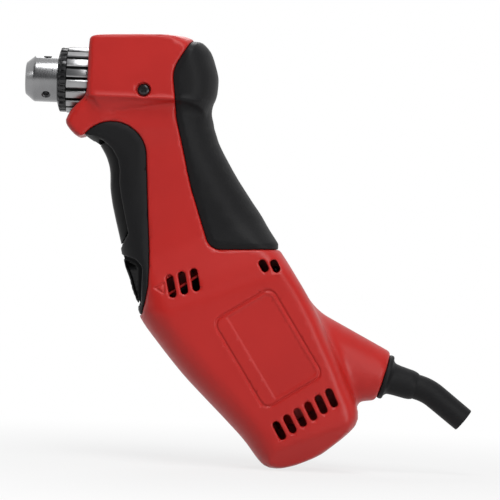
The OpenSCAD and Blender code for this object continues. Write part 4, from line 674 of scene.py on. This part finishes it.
def makeShell():
    g = Field(0.5, (22, -36, -234), (232, 1.5, 32))
    x, y, z, s, f = g.x, g.y, g.z, g.s, g.f
    outer = outerForm(g)
    axisR = np.sqrt(y * y + z * z)
    front, rear = gripZones(g)
    lx, lz = leverForm["at"]
    notch = leverOutline(g, "notch")
    fence = overlap(notch - 2.5, 0.4 - leverField(g), -y - 1.4)
    # cheeks that lap the lever's top and back edge on both sides
    backX, backZ = leverForm["back"]
    behind = (x - lx + 0.05 * leverForm["depth"]) * backX + (z - lz + leverForm["drop"]) * backZ
    c0, c1 = leverForm["cheek"]
    cheek = overlap(notch - 0.6, -leverForm["lap"] - leverOutline(g, "outline"), 0.8 - behind, outer + 0.5,
                    c0 + y, -y - c1)
    seam = polygonField(s, f, seamOutline)
    slot = np.maximum(polygonField(s, f, slotOutline), np.abs(y) - slotHalf)
    openings = union(seam, slot, notch)
    # hollow inside, kept clear of the chuck's recess and the lever's wall
    wallR, wallX = shellForm["chuckWall"]
    room = np.maximum(outer + shellForm["wall"], -np.maximum(axisR - wallR, x - wallX))
    wall = np.maximum(np.abs(x - lx - 1.6) - 1.6, np.abs(z - lz + 6) - 17)
    room = np.maximum(room, -wall)
    caseR, caseX, caseHalf = shellForm["caseRoom"]
    room = np.minimum(room, np.maximum(axisR - caseR, np.abs(x - caseX) - caseHalf))
    shell = blendMax(outer, -room, 0.6)
    pocket = np.maximum(np.minimum(front, rear), -(outer + gripForm["pocket"]))
    shell = blendMax(shell, -pocket, 1.5)
    seat = np.minimum(np.maximum(axisR - chuckSeat["r"], x - chuckSeat["floor"]),
                      np.maximum(axisR - chuckSeat["hole"], x - 50))
    shell = blendMax(shell, -seat, 1.0)
    shell = blendMax(shell, liningForm["cutBack"] * fade(-front, 0, 1.5) - openings, 0.8)
    lining = overlap(0.1 - openings, openings - liningForm["thick"], front + 0.2, outer + 0.5,
                     -outer - np.where(s > liningForm["split"], *liningForm["deep"]))
    studR, studHalf = leverForm["studHole"]
    stud = np.maximum(np.sqrt(y * y + (z - lz) ** 2) - studR, np.abs(x - lx) - studHalf)
    shell = np.maximum(shell, -stud)
    low = np.linspace(ventForm["lowFirst"], ventForm["lowLast"], ventForm["lowCount"])
    vents = union(*(slotField(s, f, v[:2], v[2:], ventForm["r"]) for v in (*ventForm["upper"], *low.tolist())))
    shell = blendMax(shell, -np.maximum(vents, y + 10), 0.7)
    shell = addRibs(g, shell, outer, notch)
    t = math.radians(bossForm["tilt"])
    u = (x - bossForm["x"]) * math.cos(t) - (z + bossForm["drop"]) * math.sin(t)
    v = (x - bossForm["x"]) * math.sin(t) + (z + bossForm["drop"]) * math.cos(t)
    boreR, boreDeep = shellForm["bossBore"]
    shell = blendMax(shell, -np.maximum(np.sqrt(v * v + y * y) - boreR, -u - boreDeep), 0.6)
    side = np.sqrt((x - sideScrew["x"]) ** 2 + (z - sideScrew["z"]) ** 2)
    shell = blendMax(shell, -np.maximum(side - sideScrew["r"], y + sideScrew["seat"]), 0.6)
    shell = cutMarks(g, shell, outer)
    part = y + shellForm["seam"]
    left = blendMax(shell, part, 0.5)
    wellR, wellFloor = shellForm["well"]
    wells = union(*(np.sqrt((s - p) ** 2 + (f - q) ** 2) - wellR for p, q in screwSpots))
    right = blendMax(left, -np.maximum(wells, y + wellFloor), 0.6)
    meshes = {"housingLeft": g.mesh("housingLeft", left), "housingRight": g.mesh("housingRight", right, True)}
    for name, zone in (("frontGrip", front), ("rearGrip", rear)):
        rise = fade(-zone, 0, 4)
        rise = gripForm["sunk"] - (gripForm["sunk"] + gripForm["proud"][name]) * rise * rise * (3 - 2 * rise)
        skin = blendMax(outer + rise, zone + gripForm["gap"], 0.8)
        skin = blendMax(skin, -(outer + gripForm["pocket"] - gripForm["gap"]), 0.3)
        skin = blendMax(skin, -openings + 0.1, 0.8)
        if name == "frontGrip":
            # lip over the trigger, fence and cheeks round the lever, and lining of the openings
            lip = overlap(outer + 0.6, 0.45 - triggerOutline(g), s - 38 - np.clip((f - 8) * 0.5, 0, 2.6))
            skin = np.minimum(skin, overlap(lip, -y - 1.2, np.minimum(seam, slot)))
            skin = union(skin, overlap(fence, outer + 0.6, -stud), cheek, np.maximum(lining, -stud))
        skin = blendMax(skin, part, 0.5)
        meshes[name + "Left"] = g.mesh(name + "Left", skin)
        meshes[name + "Right"] = g.mesh(name + "Right", skin, True)
    return meshes


shellMeshes = makeShell()
for name, node in (("housingLeft", "housing_left"), ("housingRight", "housing_right")):
    addPiece(name, shellMeshes[name], "housing", "red_shell", node)
for name, node in (("frontGripLeft", "front_grip_left"), ("frontGripRight", "front_grip_right"),
                   ("rearGripLeft", "rear_grip_left"), ("rearGripRight", "rear_grip_right")):
    addPiece(name, shellMeshes[name], "housing", "black_rubber", node)
print("shell and grips done")

# trigger and reversing lever


def makeTrigger():
    g = Field(0.32, (42, -11.5, -105), (74, 11.5, -33))
    half = triggerForm["half"]
    edge = triggerForm["edge"] * half
    rings = [rungSection(onAxis(q[0], q[1]), onAxis(q[2], q[3]), half, edge, edge, 0.2, 0.2)
             for q in smoothRows(triggerForm["rows"], 8)]
    field = g.solid(np.array(rings), 8.0)
    eye, root = triggerForm["eye"], triggerForm["root"]
    lug = discField(g.s, g.f, [eye, root])
    lug = np.maximum(lug, np.abs(g.y) - half + 0.1)
    pin = np.sqrt((g.s - eye[0]) ** 2 + (g.f - eye[1]) ** 2) - triggerForm["pinR"]
    return g.mesh("triggerPaddle", blendMax(np.minimum(field + 0.05, lug), -pin, 0.3))


def makeLever():
    g = Field(0.28, (62, -8, -137), (76, 8, -105))
    lz = leverForm["at"][1]
    pitch, deep, share = leverForm["ridge"]
    ridges = deep * np.maximum(0, np.cos((g.z - lz) * 2 * math.pi / pitch)) * fade(-g.z, 3 - lz, 2)
    return g.mesh("leverBlade", leverField(g) + ridges * share)


addPiece("triggerPaddle", makeTrigger(), "trigger", "black_plastic", "trigger")
addPiece("leverBlade", makeLever(), "lever", "black_plastic")
leverStud = rod((74.4, 0, leverForm["at"][1]), (84.4, 0, leverForm["at"][1]), 3.0)
addPiece("leverStud", meshFrom("leverStud", *leverStud), "lever", "black_plastic", "reversing_lever")
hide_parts("reversing_lever")
print("trigger and lever done")

# boot: flange, thick sleeve and bent tip round an open passage
bootForm = {"flange": 13.7, "sleeve": 9.2, "tip": 7.4, "bore": 4.3, "bend": 22.0, "bendR": 30.0, "straight": 23.0,
            "tipLen": 22.5, "plug": 10.2}


def bootPath(u):
    # point and side for a length along the boot
    bend, r, z0 = math.radians(bootForm["bend"]), bootForm["bendR"], bootForm["straight"]
    a = min(max((u - z0) / r, 0), bend)
    over = max(u - z0 - r * bend, 0)
    down = r * (1 - math.cos(a)) + over * math.sin(a)
    out = min(u, z0) + r * math.sin(a) + over * math.cos(a)
    t = math.radians(bossForm["tilt"])
    b, m = np.array([math.cos(t), 0, -math.sin(t)]), np.array([-math.sin(t), 0, -math.cos(t)])
    origin = np.array([bossForm["x"], 0, -bossForm["drop"]])
    return origin + out * b + down * m, math.cos(a) * m - math.sin(a) * b


def makeBoot():
    total = bootForm["straight"] + bootForm["bendR"] * math.radians(bootForm["bend"]) + bootForm["tipLen"]
    fl, sl, tp, bo = (bootForm[k] for k in ("flange", "sleeve", "tip", "bore"))
    loop = roundedLoop([
        (-11.5, bo + 0.3, 0), (-11.5, bootForm["plug"], 0.8), (-0.2, bootForm["plug"], 0), (0.15, fl - 0.5, 0.2),
        (0.4, fl, 0.9), (3.1, fl, 1.2), (3.6, sl + 2.0, 0.8), (5.0, sl + 0.5, 1.0), (9, sl + 0.1, 0),
        (17.5, sl - 0.2, 1.5), (19.5, sl - 0.7, 0.8), (21.2, tp + 0.35, 0.8)])
    loop += [(u, tp + 0.3 - 0.2 * (u - 22) / (total - 22)) for u in np.linspace(22.5, total - 1.2, 26)]
    loop += roundedLoop([(total - 1.2, tp + 0.1, 0), (total, tp + 0.1, 0.7), (total, bo, 0.5),
                         (total - 2, bo, 0)])[1:-1]
    loop += [(u, bo) for u in np.linspace(total - 1.5, -10.5, 30)]
    turn = around(72)
    points = []
    for u, r in loop:
        p, side = bootPath(u)
        points += [p + r * (math.cos(a) * side + np.array([0, math.sin(a), 0])) for a in turn]
    return meshFrom("bootSleeve", points, ringFaces(len(loop), 72, True), 40)


addPiece("bootSleeve", makeBoot(), "housing", "black_rubber", "cord_boot")
print("boot done")

# geometry nodes: copies of a small shape round the spindle, or at points


def copiesTree():
    tree = bpy.data.node_groups.new("copiesAtPoints", "GeometryNodeTree")
    ports = {}
    for name, kind in (("Points", "Geometry"), ("Shape", "Object"), ("Finish", "Material")):
        ports[name] = tree.interface.new_socket(name, in_out="INPUT", socket_type="NodeSocket" + kind)
    tree.interface.new_socket("Geometry", in_out="OUTPUT", socket_type="NodeSocketGeometry")
    start = tree.nodes.new("NodeGroupInput").outputs
    info = addNode(tree, "GeometryNodeObjectInfo", {"Object": start["Shape"]})
    turn = addNode(tree, "GeometryNodeInputNamedAttribute", {"Name": "turn"}, data_type="FLOAT_VECTOR")
    spin = addNode(tree, "FunctionNodeEulerToRotation", {0: turn.outputs["Attribute"]})
    copies = addNode(tree, "GeometryNodeInstanceOnPoints", {
        "Points": start["Points"], "Instance": info.outputs["Geometry"], "Rotation": spin.outputs[0]})
    real = addNode(tree, "GeometryNodeRealizeInstances", {"Geometry": copies.outputs["Instances"]})
    paint = addNode(tree, "GeometryNodeSetMaterial", {
        "Geometry": real.outputs["Geometry"], "Material": start["Finish"]})
    addNode(tree, "NodeGroupOutput", {"Geometry": paint.outputs["Geometry"]})
    return tree, ports["Shape"].identifier, ports["Finish"].identifier


copier, shapeSocket, finishSocket = copiesTree()


def copyShape(name, shapeMesh, places, turns, material):
    # places and turns of the copies; gives one plain mesh
    shape = addObject(name + "Shape", shapeMesh)
    base = bpy.data.meshes.new(name)
    base.from_pydata([tuple(np.array(p) * mm) for p in places], [], [])
    attribute = base.attributes.new("turn", "FLOAT_VECTOR", "POINT")
    attribute.data.foreach_set("vector", np.array(turns, np.float32).ravel())
    holder = addObject(name + "Holder", base)
    step = holder.modifiers.new("copies", "NODES")
    step.node_group = copier
    step[shapeSocket] = shape
    step[finishSocket] = material
    mesh = plainMesh(holder)
    bpy.data.objects.remove(holder)
    bpy.data.objects.remove(shape)
    return mesh


def copyAround(name, shapeMesh, count, material):
    turns = [(math.radians(360 * k / count), 0, 0) for k in range(count)]
    return copyShape(name, shapeMesh, [(0, 0, 0)] * count, turns, material)


def joinMeshes(name, *meshes):
    work = bmesh.new()
    for m in meshes:
        work.from_mesh(m)
    out = bpy.data.meshes.new(name)
    work.to_mesh(out)
    work.free()
    out.shade_smooth()
    out.set_sharp_from_angle(angle=math.radians(32))
    return out


# keyed chuck
chuckForm = {"noseR": 13.9, "faceR": 9.5, "chamfer": 5.4, "bore": 5.2, "boreDeep": 28.0, "bodyR": 17.3,
             "keyX": 13.0, "keyR": 2.1, "keySink": 2.75, "keyAngles": (76, 196, 316), "jawAngles": (16, 136, 256),
             "jawLean": 14.0, "jawRho": 5.2, "jawR": 2.64, "ringX": 19.6, "ringR": 19.5, "teeth": 30,
             "sleeveR": 20.0, "sleeveEnd": 42.5, "flutes": 18}


def spindlePoint(x, r, angle):
    a = math.radians(angle)
    return (x, r * math.sin(a), -r * math.cos(a))


def makeChuckBody():
    c = chuckForm
    loop = roundedLoop([
        (0, c["bore"] + 0.3, 0), (0, c["faceR"], 0.7), (c["chamfer"], c["noseR"], 1.0), (24.0, c["noseR"], 0.2),
        (24.0, 12.6, 0.2), (29.4, 12.6, 0.2), (29.4, c["bodyR"], 0.4), (39, c["bodyR"], 0.6), (44, 12, 0.8),
        (50, 12, 0.4), (50, 4.85, 0.2), (33.5, 4.85, 0), (33.5, 2.65, 0), (31, 2.65, 0), (31, 4.55, 0),
        (c["boreDeep"], 4.55, 0), (c["boreDeep"], c["bore"], 0), (0.5, c["bore"], 0)])
    points, faces = lathe(loop, 128)
    cutters = [rod(spindlePoint(c["keyX"], floor, a), spindlePoint(c["keyX"], 16, a), radius)
               for floor, radius in ((9.2, c["keyR"]), (12.4, c["keySink"])) for a in c["keyAngles"]]
    lean = math.tan(math.radians(c["jawLean"]))
    cutters += [rod(spindlePoint(-3, c["jawRho"] - 3 * lean, a),
                    spindlePoint(32.5, c["jawRho"] + 32.5 * lean, a), c["jawR"]) for a in c["jawAngles"]]
    return cutWith("chuckNose", points, faces, cutters, 30)


def ribPad(span, x0, x1, low, high, ease):
    # one pad of a fluted ring, with soft edges, centred on the axis line below the spindle
    us = np.linspace(-1, 1, 9)
    xs = [x0, x0, x0 + ease * 0.35, x0 + ease, x1 - ease, x1 - ease * 0.35, x1, x1]
    rs = [low, high - ease, high - ease * 0.3, high, high, high - ease * 0.3, high - ease, low]
    points, faces = [], []
    for x, r in zip(xs, rs):
        for u in us:
            drop = ease * max(0, (abs(u) - 0.72) / 0.28) ** 2 if r > low else 0
            points.append(spindlePoint(x, max(low, r - drop), u * span))
    for i in range(len(xs) - 1):
        for j in range(len(us) - 1):
            a = i * len(us) + j
            faces.append((a, a + 1, a + len(us) + 1, a + len(us)))
    for j in (0, len(us) - 1):
        faces.append(tuple(i * len(us) + j for i in range(len(xs))))
    lastRow = (len(xs) - 1) * len(us)
    faces.append(tuple(range(len(us))) + tuple(lastRow + j for j in range(len(us) - 1, -1, -1)))
    return meshFrom("ribPad", points, faces, 40)


def makeChuckSleeve():
    c = chuckForm
    floor = c["sleeveR"] - 0.9
    core = meshFrom("sleeveCore", *lathe(roundedLoop([
        (25.1, c["bodyR"] + 0.04, 0), (25.1, floor, 0.2), (c["sleeveEnd"], floor, 0.4),
        (c["sleeveEnd"], c["bodyR"] + 0.04, 0.2)]), 144))
    pads = copyAround("sleevePads", ribPad(7.4, 25.3, c["sleeveEnd"] - 0.2, floor - 0.3, c["sleeveR"], 0.55),
                      c["flutes"], finish["fluted_steel"])
    sleeve = joinMeshes("chuckSleeve", core, pads)
    sleeve.materials.append(finish["fluted_steel"])
    return sleeve


def toothShape():
    # one tooth of the key ring: full at the back, sloping to the front
    c = chuckForm
    x0, x1, top, low = c["ringX"] + 0.2, 25.0, c["ringR"], c["ringR"] - 1.9
    stations = [(x0, 14.9, 14.7, 0.55), (x0 + 0.5, 16.9, 16.2, 0.7), (x0 + 1.35, top - 0.25, low, 0.8),
                (x0 + 2.0, top, low + 0.1, 1.0), (x0 + 4.0, top, low + 0.9, 1.0), (x1, top, top - 0.3, 1.0)]
    half = 360 / c["teeth"] / 2
    points = []
    for x, r, base, wide in stations:
        side = [(base - 0.3, half * 0.98), (base, half * 0.8 * wide), (r, half * 0.42 * wide)]
        points += [spindlePoint(x, h, -a) for h, a in side] + [spindlePoint(x, h, a) for h, a in side[::-1]]
    faces = ringFaces(len(stations), 6) + [tuple(range(5, -1, -1)), tuple(range(30, 36))]
    return meshFrom("keyTooth", points, faces, 30)


def makeToothRing():
    c = chuckForm
    core = meshFrom("ringCore", *lathe([
        (c["ringX"], c["noseR"] + 0.04), (c["ringX"], 14.6), (c["ringX"] + 1.5, 17.4), (25.1, c["ringR"] - 0.25),
        (25.1, c["bodyR"] + 0.04), (23.6, c["bodyR"] + 0.04), (23.6, c["noseR"] + 0.04)], 120))
    teeth = copyAround("ringTeeth", toothShape(), c["teeth"], finish["dark_steel"])
    return joinMeshes("chuckToothRing", core, teeth)


addPiece("chuckNose", makeChuckBody(), "spindle", "chuck_steel", "chuck_body")
addPiece("chuckSleeve", makeChuckSleeve(), "sleeve", "chuck_steel", "chuck_sleeve")
addPiece("chuckToothRing", makeToothRing(), "sleeve", "dark_steel", "chuck_sleeve")
print("chuck done")

# screws with a cross recess
screwForm = {"headR": 3.7, "head": 2.8, "shankR": 1.6, "shank": 27.0}
caseScrewForm = {"headR": 3.6, "head": 1.3, "shankR": 2.0, "shank": 3.6}


def screwMesh(name, headR, head, shankR, shank):
    # head's underside at the origin, top towards +Y
    profile = [(-shank, 0.01), (-shank, shankR * 0.4), (-shank + 1.5, shankR), (0, shankR), (0, headR),
               (head * 0.5, headR), (head * 0.8, headR * 0.86), (head, headR * 0.55), (head, 0.01)]
    points = [(r * math.cos(a), x, r * math.sin(a)) for x, r in profile for a in around(32)]
    faces = ringFaces(len(profile), 32) + [tuple(range(32)), tuple(range(32 * 8 + 31, 32 * 8 - 1, -1))]
    # the recess stays above the head's underside
    half, wide, deep = headR * 0.52, headR * 0.13, min(headR * 0.4, head * 0.75)
    bars = []
    for a, b in ((half, wide), (wide, half)):
        corners = [(x, y, z) for y in (head - deep, head + 1) for x, z in ((-a, -b), (a, -b), (a, b), (-a, b))]
        sides = [(k, k + 4, (k + 1) % 4 + 4, (k + 1) % 4) for k in range(4)]
        bars.append((corners, [(0, 1, 2, 3), (7, 6, 5, 4)] + sides))
    return cutWith(name, points, faces, bars, 35)


housingScrew = screwMesh("housingScrew", **screwForm)
spots = [(p[0], 14.0, p[1]) for p in (onAxis(np.array(a), np.array(b)) for a, b in screwSpots)]
turns = [(0, 0.4 * k, 0) for k in range(len(spots))]
addPiece("housingScrews", copyShape("housingScrews", housingScrew, spots, turns, finish["dark_steel"]),
         "housing", "dark_steel", "housing_screws")
caseScrew = screwMesh("caseScrew", **caseScrewForm)
spots = [(sideScrew["x"], side * sideScrew["seat"], sideScrew["z"]) for side in (1, -1)]
turns = [(0, 0.3, 0), (math.pi, 0.7, 0)]
addPiece("gearCaseScrews", copyShape("gearCaseScrews", caseScrew, spots, turns, finish["dark_steel"]),
         "housing", "dark_steel", "gear_case_screws")
print("screws done")

# floor, background and soft light
floorMesh = bpy.data.meshes.new("studioFloor")
low = cadBox[0].z - 0.0006
floorMesh.from_pydata([(-6, -6, low), (6, -6, low), (6, 6, low), (-6, 6, low)], [], [(0, 1, 2, 3)])
floor = addObject("studioFloor", floorMesh)


def largest(tree, a, b):
    return addNode(tree, "ShaderNodeMath", {0: a, 1: b}, operation="MAXIMUM").outputs[0]


# white to the camera, in reflections and through clear pieces, and a little less round the tool
floorForm = {"base": (0.62, 0.62, 0.62, 1), "rough": 0.9, "middle": (0.17, 0, low), "near": 0.05, "far": 0.5,
             "nearGlow": 0.78, "farGlow": 1.0}
floorMat = bpy.data.materials.new("paleFloor")
floorMat.use_nodes = True
tree = floorMat.node_tree
base = tree.nodes["Principled BSDF"]
base.inputs["Base Color"].default_value = floorForm["base"]
base.inputs["Roughness"].default_value = floorForm["rough"]
rays = tree.nodes.new("ShaderNodeLightPath").outputs
seen = largest(tree, largest(tree, rays["Is Camera Ray"], rays["Is Glossy Ray"]), rays["Is Transmission Ray"])
away = addNode(tree, "ShaderNodeVectorMath", {0: objectPlace(tree), 1: floorForm["middle"]}, operation="DISTANCE")
span = addNode(tree, "ShaderNodeMapRange", {
    "Value": away.outputs["Value"], "From Min": floorForm["near"], "From Max": floorForm["far"],
    "To Min": floorForm["nearGlow"], "To Max": floorForm["farGlow"]}, interpolation_type="SMOOTHSTEP")
part = addNode(tree, "ShaderNodeMath", {0: seen, 1: span.outputs["Result"]}, operation="MULTIPLY")
glow = tree.nodes.new("ShaderNodeEmission")
mix = addNode(tree, "ShaderNodeMixShader", {0: part.outputs[0], 1: base.outputs[0], 2: glow.outputs[0]})
tree.links.new(mix.outputs[0], tree.nodes["Material Output"].inputs["Surface"])
floorMesh.materials.append(floorMat)

# white for the camera all round, and in reflections towards the back
worldForm = {"colour": (0.95, 0.97, 1, 1), "strength": 0.14, "behind": (-0.5, 0.25)}
world = bpy.data.worlds.new("studioWorld")
scene.world = world
world.use_nodes = True
tree = world.node_tree
soft = tree.nodes["Background"]
soft.inputs["Color"].default_value = worldForm["colour"]
soft.inputs["Strength"].default_value = worldForm["strength"]
white = addNode(tree, "ShaderNodeBackground", {"Color": (1, 1, 1, 1)})
split = addNode(tree, "ShaderNodeSeparateXYZ", {0: tree.nodes.new("ShaderNodeTexCoord").outputs["Generated"]})
behind = addNode(tree, "ShaderNodeMapRange", {
    "Value": split.outputs["Y"], "From Min": worldForm["behind"][0], "From Max": worldForm["behind"][1]},
    interpolation_type="SMOOTHSTEP")
rays = tree.nodes.new("ShaderNodeLightPath").outputs
mirrored = largest(tree, rays["Is Glossy Ray"], rays["Is Transmission Ray"])
gated = addNode(tree, "ShaderNodeMath", {0: mirrored, 1: behind.outputs["Result"]}, operation="MULTIPLY")
seen = largest(tree, rays["Is Camera Ray"], gated.outputs[0])
mix = addNode(tree, "ShaderNodeMixShader", {0: seen, 1: soft.outputs[0], 2: white.outputs[0]})
tree.links.new(mix.outputs[0], tree.nodes["World Output"].inputs["Surface"])

lampForm = [  # place, size, power, all aimed at the middle of the tool
    ("keyLight", (0.45, -1.0, 0.75), 0.55, 6.3),
    ("topLight", (0.1, -0.4, 0.95), 0.5, 5.8),
    ("lowLight", (0.8, -0.85, -0.12), 0.35, 3.6),
    ("frontLight", (-0.95, -0.25, 0.3), 0.15, 0.6),
    ("backLight", (0.1, 1.1, 0.8), 0.6, 5.0)]
for name, place, size, power in lampForm:
    data = bpy.data.lights.new(name, "AREA")
    data.shape, data.size, data.energy = "DISK", size, power
    lamp = addObject(name, data)
    lamp.location = place
    aim = Vector((look["centre"][0] * mm, 0, look["centre"][1] * mm)) - Vector(place)
    lamp.rotation_euler = aim.to_track_quat("-Z", "Y").to_euler()
print("light and floor set")
